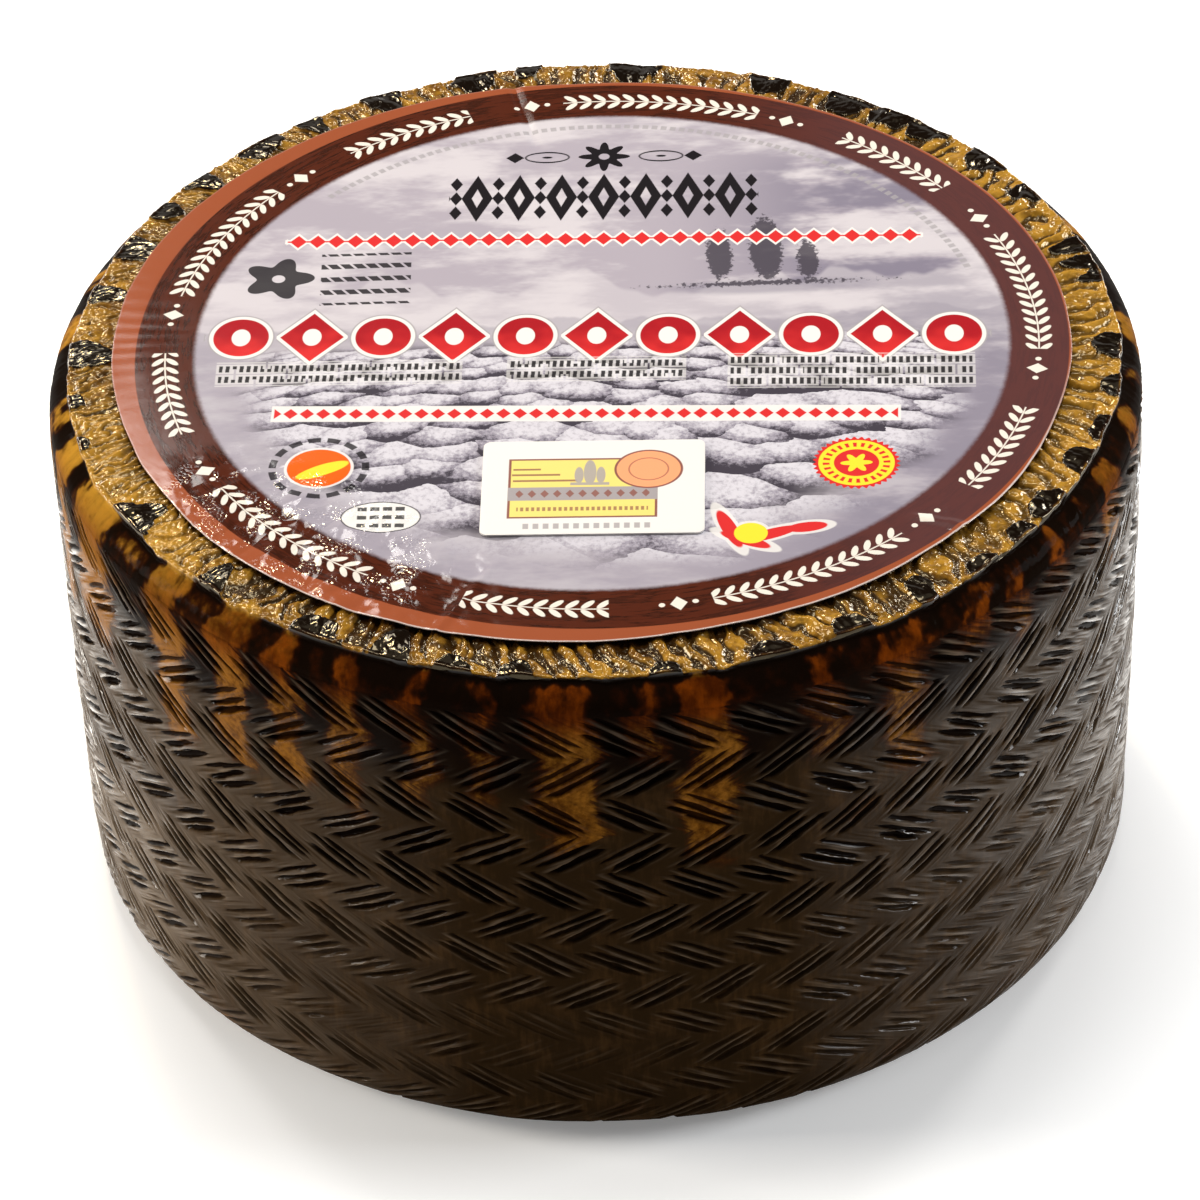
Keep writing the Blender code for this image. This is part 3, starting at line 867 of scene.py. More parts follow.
def rind_skin(name, varnished):
    """The rind's material: dull paint with a coat by the gloss mark, or crinkled varnish."""
    rind = Finish(name)
    rx, ry, rz = rind.place()
    spot = rind.point(rx, ry, rz)
    cloud = rind.grain(spot, CLOUD, 4.0)
    fleck = rind.grain(spot, FLECK, 3.0)
    upright = rind.grain(rind.point(rx, ry, rz * FLATTEN), STREAK, 3.0)
    gloss = rind.mark("gloss")
    # Painted light: the gold is lighter towards the right and at the left front, mixed in with its
    # random patches.
    left_front_light = (0 - rx).rise(55.0, 85.0) * (0 - ry).rise(0.0, 30.0)
    painted_light = rx.rise(30.0, 90.0) * 0.12 + left_front_light * 0.20
    patchy = (cloud * 0.55 + fleck * 0.45 + painted_light).rise(0.36, 0.66)
    golden = rind.mix(
        rind.mix(GOLD_DEEP, GOLD_LIGHT, patchy),
        rind.mix(RIM_GOLD_DEEP, RIM_GOLD_LIGHT, patchy),
        rz.rise(*RIM_BLEND),
    )
    resin = rind.mix(AMBER_DEEP, AMBER_LIGHT, (cloud * 0.7 + upright * 0.3).rise(0.36, 0.66))
    golden = rind.mix(golden, resin, rind.mark("amber_and_shade"))
    paint = rind.mix(PAINT, PAINT_BROWN, (cloud * 0.6 + upright * 0.4).rise(0.45, 0.70))
    paint = rind.mix(paint, THICK_PAINT, rind.mark("thick"))
    # Painted highlight and sheen: the paint is lightened towards a dull brown.
    paint = rind.mix(paint, PAINTED_SHEEN_COLOUR, (rind.mark("painted_highlight_and_sheen") * 0.60).low(0.75))
    bare = rind.mark("gold") + (fleck - 0.5) * 0.25 + (upright - 0.5) * 0.20
    bareness = bare.rise(0.12, 0.95)
    golden = rind.mix(AMBER_DEEP, golden, bareness.rise(0.15, 0.75))
    colour = rind.mix(paint, golden, bareness)
    # Painted shade in cuts, valleys and the hem's line, by the shade mark.
    cavity_shade = rind.mix(CAVITY_SHADE, GOLD_CAVITY_SHADE, bareness)
    colour = rind.mix(colour, cavity_shade, (rind.mark("shade") * 1.1).rise(0.10, 0.90) * 0.93)
    if varnished:
        crinkle = rind.grain(spot, CRINKLE, 2.0, 0.5)
        return rind.shader(
            bump=(crinkle * 0.65 + fleck * 0.35) * (bareness * 0.7 + 0.3),
            bump_height=0.055,
            Base_Color=colour,
            Roughness=0.20 - gloss * 0.10,
            IOR=1.50,
            Specular_Tint=shade_of(1.0, 0.83, 0.52),
        )
    return rind.shader(
        bump=(fleck * 0.5 + upright * 0.5) * (bareness * 0.75 + 0.25),
        bump_height=0.12,
        Base_Color=colour,
        Roughness=0.40 + (fleck - 0.5) * 0.15,
        IOR=1.02,
        Coat_Weight=gloss,
        Coat_Roughness=0.08,
        Coat_IOR=1.6,
    )


painted = rind_skin("painted_rind", False)
varnished = rind_skin("varnished_rim", True)


# %% [markdown]
# Each piece takes its share of the grid's rows, normals and marks. Neighbours share a row, so they
# meet without a gap.


# %% Rind pieces
def rind_piece(name, first, last, material, pole=None):
    """The rows from first to last of the rind's grid, with a fan to the pole where one is given."""
    rows = last - first + 1
    points = rind_points[first : last + 1].reshape(-1, 3)
    normals = rind_normals[first : last + 1].reshape(-1, 3)
    marks = {mark: values[first : last + 1].ravel() for mark, values in rind_marks.items()}
    faces = ring_faces(rows, COLUMNS)
    uv = strip_uv(rows, COLUMNS, 6)
    if pole is not None:
        top = first == 0
        edge = (0 if top else rows - 1) * COLUMNS
        j = np.arange(COLUMNS)
        here, beside = edge + j, edge + (j + 1) % COLUMNS
        centre = np.full(COLUMNS, len(points))
        fan = [centre, here, beside, beside] if top else [here, centre, beside, beside]
        faces = np.concatenate([faces, np.stack(fan, axis=1)])
        uv = np.concatenate([uv, np.full((COLUMNS, 4, 2), 0.001)])
        points = np.concatenate([points, [pole]])
        normals = np.concatenate([normals, [[0, 0, 1 if top else -1]]])
        ring = slice(edge, edge + COLUMNS)
        marks = {mark: np.append(v, v[ring].mean()) for mark, v in marks.items()}
    piece = mesh_of(name, points, faces, material, normals, marks, uv)
    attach(piece, "root")
    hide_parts("rind")
    return piece


BANDS_IN_PIECE, ABOVE_LIP = 2, 0.1
last_row = len(row_height) - 1
LIP_ROW = int(np.searchsorted(row_reach, LIP_REACH - ABOVE_LIP))
rind_piece("rind_rim", 0, LIP_ROW, varnished, (0, 0, TOP))
rind_piece("rind_collar", LIP_ROW, belt_start, painted)
for number in range(BANDS // BANDS_IN_PIECE):
    start = belt_start + number * BANDS_IN_PIECE * ROWS_IN_BAND
    rind_piece(f"rind_belt_{number + 1}", start, start + BANDS_IN_PIECE * ROWS_IN_BAND, painted)
rind_piece("rind_foot", belt_end - 1, last_row, painted, (0, 0, 0))

# %% [markdown]
# ## The label
#
# The label is a paper disc under a clear film. It lies on the ridges of the rim, so its edge is
# drawn into fine wrinkles. At the lower left the film has crinkled into flat facets that flash in
# the light, and four creases run in from the edge. All of this is shape: a disc of rings with a
# height that is a function of the place. The edge bends down over the paper's thickness, and the
# underside closes the disc.

# %% Label relief
FACET_HEIGHT, LOWEST, HIGHEST = 0.20, -0.30, 0.32
WRINKLED_AT = [-180, -140, -115, -60, -35, 30, 60, 120, 180]
WRINKLED = [0.25, 0.5, 1, 1, 0.3, 0.2, 0.5, 0.35, 0.25]
CREASES = [
    (-0.35, (-172, 62), (-171, 87), 0.8),
    (0.25, (-15, 62), (-19.4, 87), 0.7),
    (0.30, (44, 74), (48, 87), 1.0),
    (0.14, (51, 77), (45, 86), 0.7),
]


def triangle_wave(x):
    """Straight ramps up and down between -1 and 1, one full turn for each whole number."""
    return 4 * np.abs((x + 0.25) % 1 - 0.5) - 1


def on_wheel(azimuth, radius):
    """x and y of a place given by its azimuth from the front and its distance from the axis."""
    a = math.radians(azimuth)
    return np.array([radius * math.sin(a), -radius * math.cos(a)])


def crease(x, y, start, end, width):
    """A narrow fold along a straight line from one place on the wheel to another, each given by
    azimuth and radius: exp(-(distance / width)^2)."""
    start, end = on_wheel(*start), on_wheel(*end)
    along = end - start
    fold_length = np.hypot(*along)
    t = np.clip(((x - start[0]) * along[0] + (y - start[1]) * along[1]) / fold_length**2, 0, 1)
    away = np.hypot(x - start[0] - t * along[0], y - start[1] - t * along[1])
    return bell(away, width) * smooth(0, 0.35, t)


def label_relief(x, y):
    """Height in mm over the flat label: wrinkles at the edge, facets, creases and a slow swell."""
    radius = np.hypot(x, y)
    angle = np.degrees(np.arctan2(x, -y))
    share = angle / 360
    left = np.interp(angle, WRINKLED_AT, WRINKLED)
    wrinkle = triangle_wave(share * 150 + 0.5 * noise(share, radius / 100, 40, 3, 401))
    patchy = 0.15 + 0.85 * smooth(0.0, 0.8, noise(share, radius / 100, 26, 3, 403))
    height = 0.022 * left * smooth(70, 85, radius) * wrinkle * patchy
    height += 0.05 * layered_noise(share, radius / 90, 10, 5, 405) * smooth(0, 40, radius)
    zone = np.interp(angle, [-180, -70, -54, -22, -10, 180], [0, 0, 1, 1, 0, 0])
    zone *= smooth(56, 68, radius)
    facets = triangle_wave((0.92 * x - 0.38 * y) / 13.5) * 0.50
    facets += triangle_wave((0.55 * x + 0.83 * y) / 19 + 0.3) * 0.50
    facets += triangle_wave((0.98 * x + 0.2 * y) / 7.1 + 0.1) * 0.36
    facets += triangle_wave((0.75 * x - 0.66 * y) / 5.3) * 0.16
    height += FACET_HEIGHT * zone * facets
    height += 0.055 * zone * layered_noise(share, radius / 90, 420, 60, 407, 2)
    for rise, start, end, width in CREASES:
        height += rise * crease(x, y, start, end, width)
    return np.clip(height, LOWEST, HIGHEST)


print("creases:", len(CREASES))

# %% [markdown]
# The paper's edge isn't a true circle. It is drawn in at the left, where it wrinkles most, and
# lies a little further out at the right and the front. The table gives the shift in mm by azimuth.
# At the front, the cut edge shows bare paper.

# %% Build the label
EDGE_AT = np.arange(-180, 181, 15)
EDGE_SHIFT = [
    -1.6, -1.1, -0.8, -0.7, -0.5, -0.9, -1.5, -1.9, -1.6, -0.5, 0.5, 0.6, 0.7, 0.4, 0.7, 0.5,
    0.8, 0.6, 0.8, 0.6, 0.4, 0.0, -0.5, -0.8, -1.6,
]
BARE_AT, BARE = [-180, -75, -50, 60, 85, 180], [0.1, 0.1, 0.55, 0.7, 0.1, 0.1]
LABEL_COLUMNS, LABEL_ROWS, LABEL_EDGE, UNDER_SINK = 720, 118, 0.08, 0.35
ring_share = np.linspace(0.01, 1, LABEL_ROWS - 3) ** 0.72
bend = np.linspace(0, math.pi / 2, 4)[1:]
label_rings = np.concatenate([
    ring_share * (LABEL_RADIUS - 0.50),
    LABEL_RADIUS - np.array([0.36, 0.22, LABEL_EDGE]),
    LABEL_RADIUS - LABEL_EDGE + LABEL_EDGE * np.sin(bend),
    [LABEL_RADIUS, LABEL_RADIUS - 0.1, LABEL_RADIUS - 1.5, 40, 2.0],
])
thickness = LABEL_TOP - LABEL_BOTTOM
under = thickness + UNDER_SINK
label_drop = np.concatenate([
    np.zeros(LABEL_ROWS),
    LABEL_EDGE * (1 - np.cos(bend)),
    [thickness - LABEL_EDGE, thickness, under, under, under],
])
label_angle = 2 * math.pi * np.arange(LABEL_COLUMNS) / LABEL_COLUMNS
label_azimuth = (np.degrees(label_angle) + 270) % 360 - 180
edge_shift = np.interp(label_azimuth, EDGE_AT, EDGE_SHIFT)
edge_shift += 0.18 * layered_noise(label_angle / (2 * math.pi), 0.5, 40, 1, 411)
label_reach = label_rings[:, None] + edge_shift * (label_rings[:, None] / LABEL_RADIUS) ** 6
label_x = LABEL_X + label_reach * np.cos(label_angle)
label_y = LABEL_Y + label_reach * np.sin(label_angle)
label_z = LABEL_TOP - label_drop[:, None] + label_relief(label_x, label_y)
label_points = np.stack([label_x, label_y, label_z], axis=2)
bare_front = np.interp(label_azimuth, BARE_AT, BARE)
bare_paper = smooth(-0.36, -0.14, label_rings[:, None] - LABEL_RADIUS) * bare_front
bare_paper[LABEL_ROWS + 1 :] = np.maximum(bare_front, 0.3)
print("label height, mm:", round(float(label_z.min()), 2), "to", round(float(label_z.max()), 2))

# %% [markdown]
# ## The print on the label
#
# A printed sheet is flat shapes with crisp edges, so the print is drawn by rules and not by a
# picture: each shape is a distance, below zero inside it. A box, a disc and a lozenge are enough.
# Repeating the coordinate repeats the shape, which makes rows, and an angle in place of a
# coordinate makes rings. The design is a plain one in the colours of such labels: a terracotta
# border, a ring of dark wood with cream sprigs, a cloudy sky over a field of grey tussocks, and
# rows of lozenges and bars. Each `stamp` lays one ink over all that is there already.


# %% Shapes as distances
def turned(x, y, centre_x, centre_y, degrees=0.0):
    """x and y in a frame with its middle at the centre, turned anticlockwise."""
    c, s = math.cos(math.radians(degrees)), math.sin(math.radians(degrees))
    dx, dy = x - centre_x, y - centre_y
    return dx * c + dy * s, dy * c - dx * s


def length(x, y):
    """Distance from the middle: sqrt(x^2 + y^2)."""
    return (x**2.0 + y**2.0) ** 0.5


def bearing(x, y):
    """The angle of a place round the middle, in degrees from the right."""
    return y.math("ARCTAN2", x) * (180 / math.pi)


def box(x, y, half_width, half_height):
    """Distance outside a box: the greater of |x| - half width and |y| - half height."""
    return (abs(x) - half_width).high(abs(y) - half_height)


def oval(x, y, half_width, half_height):
    """About the distance outside an oval: its stretched radius less 1, times its smaller half."""
    return (length(x / half_width, y / half_height) - 1.0) * min(half_width, half_height)


def lozenge(x, y, half_width, half_height):
    """Distance outside a lozenge: |x| / width + |y| / height less 1, scaled to its sides."""
    scale = half_width * half_height / math.hypot(half_width, half_height)
    return (abs(x) / half_width + abs(y) / half_height - 1.0) * scale


def petals(x, y, count, radius, depth):
    """About the distance outside a flower: its radius swings with the cosine of the angle."""
    swing = (y.math("ARCTAN2", x) * float(count)).math("COSINE")
    return length(x, y) - (swing * depth + radius)


def joined(*shapes):
    """The distance outside all of several shapes: the least of theirs."""
    least = shapes[0]
    for shape in shapes[1:]:
        least = least.low(shape)
    return least


def inside(distance, soft=0.09):
    """1 inside a shape and 0 outside it, with an edge as soft as printed paper's."""
    return 1.0 - distance.rise(-soft, soft)


class Print:
    """A sheet of paper under print, in the colour that it has so far."""

    def __init__(self, finish, colour):
        self.finish, self.colour = finish, colour

    def cover(self, ink, share):
        """The ink over the whole sheet, as thick as the share says from 0 to 1."""
        self.colour = self.finish.mix(self.colour, ink, share)

    def stamp(self, ink, distance, share=1.0, soft=0.09):
        """The ink inside one shape."""
        self.cover(ink, inside(distance, soft) * share)


# %% Paper, sky and field
label = Finish("printed_label", flat=True)
lx, ly, _ = label.place()
sheet = label.point(lx, ly)

WHITE = shade_of(0.75, 0.725, 0.70)
CREAM = shade_of(0.76, 0.70, 0.62)
TERRACOTTA = shade_of(0.295, 0.074, 0.029)
WOOD = shade_of(0.076, 0.016, 0.007)
WOOD_DARK = shade_of(0.030, 0.008, 0.004)
WOOD_RED = shade_of(0.140, 0.030, 0.014)
WOOD_PALE = shade_of(0.105, 0.042, 0.042)
SKY = shade_of(0.385, 0.345, 0.395)
SKY_LIGHT = shade_of(0.575, 0.535, 0.565)
SKY_DEEP = shade_of(0.17, 0.152, 0.212)
FIELD_LIGHT = shade_of(0.62, 0.595, 0.645)
FIELD = shade_of(0.28, 0.255, 0.305)
FIELD_DARK = shade_of(0.055, 0.047, 0.062)
INK = shade_of(0.013, 0.011, 0.013)
RED = shade_of(0.62, 0.030, 0.030)
RED_DEEP = shade_of(0.36, 0.012, 0.018)
ORANGE = shade_of(0.88, 0.115, 0.012)
YELLOW = shade_of(0.90, 0.66, 0.040)
GREY = shade_of(0.34, 0.32, 0.33)

clouds = label.grain(label.point(lx * 0.45, ly), 17.0, 5.0, 0.6)
wisps = label.grain(label.point(lx * 0.3, ly), 3.5, 4.0, 0.6)
cloudy = (clouds * 0.75 + wisps * 0.25).rise(0.42, 0.62)
paper = Print(label, label.mix(SKY, SKY_LIGHT, cloudy))
deep = (1.0 - clouds.rise(0.40, 0.58)) * lx.rise(10.0, 50.0) * (1.0 - ly.rise(50.0, 72.0))
paper.cover(SKY_DEEP, deep * 0.80)
hill_line = label.grain(label.point(lx, 3.0), 26.0, 3.0) * 34.0
paper.cover(SKY_LIGHT, inside(ly - hill_line - 2.0, 0.8) * ly.rise(-2.0, 8.0) * 0.45)
far_line = label.grain(label.point(lx, 90.0), 22.0, 4.0) * 16.0
paper.stamp(FIELD, ly - far_line + 1.0, 0.50, 0.5)

# %% [markdown]
# The field is a carpet of cells. A stretched plane shows them as lying flat and running off to
# the horizon: the nearer a row is, the larger it is drawn.

# %% Tussocks
HORIZON, VIEW_DEPTH = 3.0, 24.0
zoomed = (HORIZON - ly).high(0.01) / VIEW_DEPTH + 1.0
ground_x = lx / zoomed / 4.2
ground_y = zoomed.math("LOGARITHM", math.e) * 9.5
ruffle = label.grain(label.point(ground_x, ground_y), 0.55, 3.0)
ruffled_y = ground_y + ruffle * 0.30
ruffled = label.point(ground_x + ruffle * 0.45, ruffled_y)
cells = {"Vector": ruffled, "Scale": 1.0, "Randomness": 0.9}
tussock = label.node("ShaderNodeTexVoronoi", {"feature": "F1", "voronoi_dimensions": "2D"}, cells)
centre = Value(label, tussock.socket.node.outputs[2])
centre = label.node("ShaderNodeSeparateXYZ", inputs={0: centre}).socket.node
above = ruffled_y - Value(label, centre.outputs[1])
wool = label.grain(sheet, 1.1, 4.0, 0.7)
puff = 1.0 - tussock * 1.05 - above * 0.95 + (wool - 0.5) * 1.4
field = label.mix(FIELD_DARK, FIELD, puff.rise(-0.05, 0.50))
field = label.mix(field, FIELD_LIGHT, puff.rise(0.35, 1.05))
RING_X, RING_Y, FIRST_SPRIG = 1.4, 1.1, -99.6
ring = length(lx - RING_X, ly - RING_Y)
angle = bearing(lx - RING_X, ly - RING_Y) - FIRST_SPRIG
in_ring = 1.0 - (ring + (clouds - 0.5) * 22.0).rise(58.0, 68.0)
paper.cover(field, (1.0 - ly.rise(-1.0, HORIZON)) * in_ring)

# %% Border and wooden ring
WOOD_START, WOOD_END = (72.3, 73.6), 83.6
plank = label.grain(label.point(angle * 0.14, ring), 0.75, 4.0, 0.65)
blotch = label.grain(label.point(angle * 0.5, ring), 3.2, 3.0)
wood = label.mix(WOOD, WOOD_DARK, (plank * 0.6 + blotch * 0.4).rise(0.46, 0.60))
wood = label.mix(wood, WOOD_RED, (blotch * 0.5 + plank * 0.5).rise(0.55, 0.72) * 0.6)
wood = label.mix(wood, WOOD_PALE, lx.rise(15.0, 60.0) * 0.72)
paper.cover(wood, (ring + (wool - 0.5) * 0.5).rise(*WOOD_START))
paper.cover(TERRACOTTA, 1.0 - inside(ring - WOOD_END, 0.12))

# %% [markdown]
# Ten sprigs stand round the wooden ring, long ones and short ones in turn, with a lozenge and two
# dots between them. A sprig is one slanted leaf, repeated along an arc and mirrored over it.

# %% Sprigs on the ring
SPRIG_RADIUS, SPRIG_TURN, LEAF_PITCH = 78.2, 36.0, 2.7
arc = math.radians(1) * SPRIG_RADIUS
across = ring - SPRIG_RADIUS
along = angle.repeat(SPRIG_TURN) * arc
half_long = angle.odd(SPRIG_TURN) * 6.0 + 12.6
leaf_x = (along - abs(across) * 0.75).repeat(LEAF_PITCH)
leaf = oval(leaf_x, abs(across) - 1.25, 0.78, 1.12)
sprig = leaf.low(abs(across) - 0.14).high(abs(along) - half_long)
between = (angle + SPRIG_TURN / 2).repeat(SPRIG_TURN) * arc
diamond = lozenge(between, across, 1.5, 1.9).low(oval(abs(between) - 2.9, across, 0.55, 0.55))
paper.stamp(CREAM, sprig.low(diamond))
print("sprigs:", int(360 / SPRIG_TURN))

# %% [markdown]
# In the place of a title stands a frieze in black: a rosette over a row of tall lozenges, with
# small ones stacked between them. Fine dashes follow the ring above it. Small dark trees stand on
# the right, a flower and four bars on the left.

# %% Frieze, dashes and trees
TALL_PITCH, DASH_RADIUS = 7.8, 69.6
top_x, top_y = turned(lx, ly, 3.2, 60.5, -2.0)
rosette = petals(top_x, top_y, 8, 3.7, 1.1).high(1.0 - length(top_x, top_y))
side_x = abs(top_x) - 10.6
scroll = oval(side_x, top_y, 4.2, 1.9).low(lozenge(abs(top_x) - 16.6, top_y, 1.7, 1.7))
scroll = scroll.high(0.55 - abs(oval(side_x, top_y, 2.4, 0.9)))
row_x, row_y = turned(lx, ly, 2.8, 47.2, -2.0)
cell = row_x.repeat(TALL_PITCH)
post = lozenge((row_x - TALL_PITCH / 2).repeat(TALL_PITCH), row_y.repeat(4.7), 1.15, 2.2)
tall = lozenge(cell, row_y, 2.9, 7.6).high(0.0 - lozenge(cell, row_y, 1.0, 3.0))
frieze = post.high(abs(row_y) - 7.0).low(tall).high(abs(row_x) - 28.6)
paper.stamp(INK, joined(rosette, scroll, frieze))
dash_turn = angle - 173.0
dashes = box((dash_turn * arc * 0.9).repeat(1.75), ring - DASH_RADIUS, 0.55, 0.62)
dashes = dashes.high(abs(dash_turn.repeat(360.0) - 2.0) - 60.0)
paper.stamp(GREY, dashes, 0.5 + 0.5 * wool)

mark_x, mark_y = turned(lx, ly, -56.9, 24.3)
flower = petals(mark_x, mark_y, 5, 5.3, 1.3).high(1.2 - length(mark_x, mark_y))
bar_x, bar_y = turned(lx, ly, -41.0, 23.4, -1.0)
bars = box(bar_x, bar_y.repeat(4.05), 8.2, 0.75).high(abs(bar_y) - 8.1)
bars = bars.high(0.28 - abs((bar_x + bar_y * 0.7).repeat(2.3) - 0.5))
paper.stamp(INK, flower.low(bars), 0.93)

tree_x, tree_y = turned(lx, ly, 30.0, 26.0)
TREES = [(-6.5, 1.0, 2.3, 7.5), (2.0, 2.5, 3.0, 10.0), (9.5, -1.5, 1.9, 6.0)]
TREE_GROUND = (1.5, -8.4, 14.5, 0.7)
trees = (oval(tree_x - x, tree_y - y, wide, high) for x, y, wide, high in [*TREES, TREE_GROUND])
crowns = joined(*trees)
leafy = (label.grain(sheet, 0.9, 3.0) - 0.5) * 2.4
paper.stamp(SKY_DEEP, oval(tree_x - 2.0, tree_y + 9.5, 17.0, 2.2), 0.5, 0.9)
paper.stamp(FIELD_DARK, crowns + leafy, 0.9, 0.25)
print("trees:", len(TREES))

# %% [markdown]
# The red band carries the label's colour: lozenges and discs in turn, each with a hole, a white
# outline and a thin grey line round that. Thinner rows of lozenges run above and below it, and
# rows of small dashes stand where a real label has its small print.

# %% Red bands and small print
BEAD_PITCH = 12.8
band_x, band_y = turned(lx, ly, 0.6, 3.0, -2.9)
step_x = band_x.repeat(BEAD_PITCH)
round_one = oval(step_x, band_y, 5.0, 5.7)
square_one = lozenge(step_x, band_y, 5.75, 7.4)
beads = square_one + (round_one - square_one) * band_x.odd(BEAD_PITCH)
ends = abs(band_x) - 70.4
outer = (beads - 0.75).high(ends)
red_light = (label.grain(sheet, 5.0, 1.0) * 0.5 + (band_y * -0.05 + 0.35)).rise(0.45, 0.95)
red = label.mix(RED, RED_DEEP, 1.0 - red_light)
paper.stamp(GREY, outer - 0.3, 0.8)
paper.stamp(WHITE, outer)
paper.stamp(red, beads.high(0.0 - oval(step_x, band_y, 1.7, 2.6)).high(ends))

thin_x, thin_y = turned(lx, ly, 2.5, 33.6, -2.4)
thin = lozenge(thin_x.repeat(3.5), thin_y, 1.55, 2.0).high(abs(thin_x) - 57.7)
thin = thin.low(box(thin_x, thin_y, 58.0, 0.22))
paper.stamp(WHITE, thin - 0.45)
paper.stamp(RED, thin)

strip_x, strip_y = turned(lx, ly, -1.9, -20.6, -3.2)
strip = lozenge(strip_x.repeat(2.9), strip_y, 1.3, 1.5).high(abs(strip_x) - 55.1)
paper.stamp(WHITE, box(strip_x, strip_y, 55.6, 2.35), 0.94)
paper.stamp(RED, strip)


def small_print(centre_x, centre_y, half_width, lines, degrees, height=1.9, step=3.2):
    """Rows of fine strokes: a box, cut by narrow gaps, and by wide ones that slide by row."""
    x, y = turned(lx, ly, centre_x, centre_y, degrees)
    row = box(x, (y + (lines % 2 - 1) * step / 2).repeat(step), half_width, height / 2)
    row = row.high(abs(y) - lines * step / 2)
    shifted = x + (y / step).math("ROUND") * 3.7
    return row.high(abs(shifted.repeat(1.25)) - 0.36).high(0.7 - abs(shifted.repeat(9.3)))


text = joined(
    small_print(-45.6, -5.7, 21.5, 2, -2.0),
    small_print(0.3, -7.2, 15.5, 2, -2.5),
    small_print(45.6, -10.4, 21.5, 3, -3.0),
)
paper.stamp(WHITE, text - 0.5, 0.45)
paper.stamp(INK, text, 0.95)

# %% [markdown]
# Lower down are four small marks in plain shapes: an orange disc in a ring of dashes, a white
# oval, a red and yellow disc with a scalloped rim, and a few leaves.

# %% Small marks
badge_x, badge_y = turned(lx, ly, -48.8, -34.0)
badge = oval(badge_x, badge_y, 5.6, 5.4)
stroke_x, stroke_y = turned(badge_x, badge_y, 0.6, -0.6, 24.0)
badge_ring = abs(length(badge_x, badge_y) - 8.2) - 0.65
badge_dashes = badge_ring.high((abs(bearing(badge_x, badge_y).repeat(24.0)) - 8.0) * 0.14)
paper.stamp(WHITE, badge - 0.5, 0.9)
paper.stamp(ORANGE, badge)
paper.stamp(YELLOW, oval(stroke_x, stroke_y, 5.0, 1.5))
paper.stamp(INK, badge_dashes, 0.9)

plate_x, plate_y = turned(lx, ly, -37.9, -49.0, -2.0)
plate_bars = box(plate_x, plate_y.repeat(2.4), 4.6, 0.55).high(abs(plate_y) - 3.1)
paper.stamp(INK, oval(plate_x, plate_y, 7.0, 4.5), 0.9)
paper.stamp(WHITE, oval(plate_x, plate_y, 6.75, 4.25))
paper.stamp(INK, plate_bars.high(0.3 - abs(plate_x.repeat(2.2))), 0.9)

seal_x, seal_y = turned(lx, ly, 45.0, -38.1)
seal_ring = length(seal_x, seal_y) - 5.3
seal_step = bearing(seal_x, seal_y).repeat(15.0) * 0.092
paper.stamp(RED, petals(seal_x, seal_y, 36, 7.35, 0.3))
paper.stamp(YELLOW, abs(seal_ring) - 1.35)
paper.stamp(RED, box(seal_ring, seal_step, 0.6, 0.32))
paper.stamp(YELLOW, petals(seal_x, seal_y, 6, 2.1, 0.7))

spray_x, spray_y = turned(lx, ly, 26.0, -56.5)
LEAVES = [(-3.8, 0.6, 108, 5.6), (-1.2, -2.6, 150, 4.8), (3.2, -1.2, 20, 5.2), (9.5, 0.4, 8, 3.6)]
lying = [(turned(spray_x, spray_y, x, y, lean), long) for x, y, lean, long in LEAVES]
leaves = joined(*(oval(*spot, long, 1.35) for spot, long in lying))
heart = oval(spray_x + 0.2, spray_y + 0.8, 2.9, 2.9)
paper.stamp(WHITE, leaves.low(heart) - 0.6, 0.8)
paper.stamp(RED, leaves)
paper.stamp(YELLOW, heart)
print("leaves:", len(LEAVES))

# %% [markdown]
# The film over the print has a soft gloss. It is smoothest where it lies flat, and a fine
# crumple breaks its glint up at the lower left.


# %% Label finish
def facets(point, size, slope):
    """Height in mm of flat facets: the distance to the edges of random cells, times a slope."""
    settings = {"feature": "DISTANCE_TO_EDGE", "voronoi_dimensions": "2D"}
    edge_away = label.node("ShaderNodeTexVoronoi", settings, {"Vector": point, "Scale": 1 / size})
    return edge_away * (size * slope)


crumple = label.grain(sheet, 0.8, 3.0, 0.7)
zone_x, zone_y = turned(lx, ly, -50.0, -52.0, -38.0)
crumpled = 1.0 - ((zone_x / 32.0) ** 2.0 + (zone_y / 17.0) ** 2.0).rise(0.35, 1.1)
lay = label.grain(sheet, 24.0, 2.0)
folds = facets(label.point(angle * arc, ring * 0.35), 6.5, 0.08)
glitter = facets(sheet, 0.8, 0.16) * label.grain(sheet, 5.0, 2.0).rise(0.50, 0.60)
paper.cover(WHITE, label.mark("bare"))
label_finish = label.shader(
    bump=lay * 0.07 + crumple * 0.006 + (folds + glitter) * crumpled,
    bump_height=1.0,
    Base_Color=paper.colour,
    Roughness=0.12 + 0.05 * (lay - 0.5) - 0.03 * crumpled,
    IOR=1.45,
)


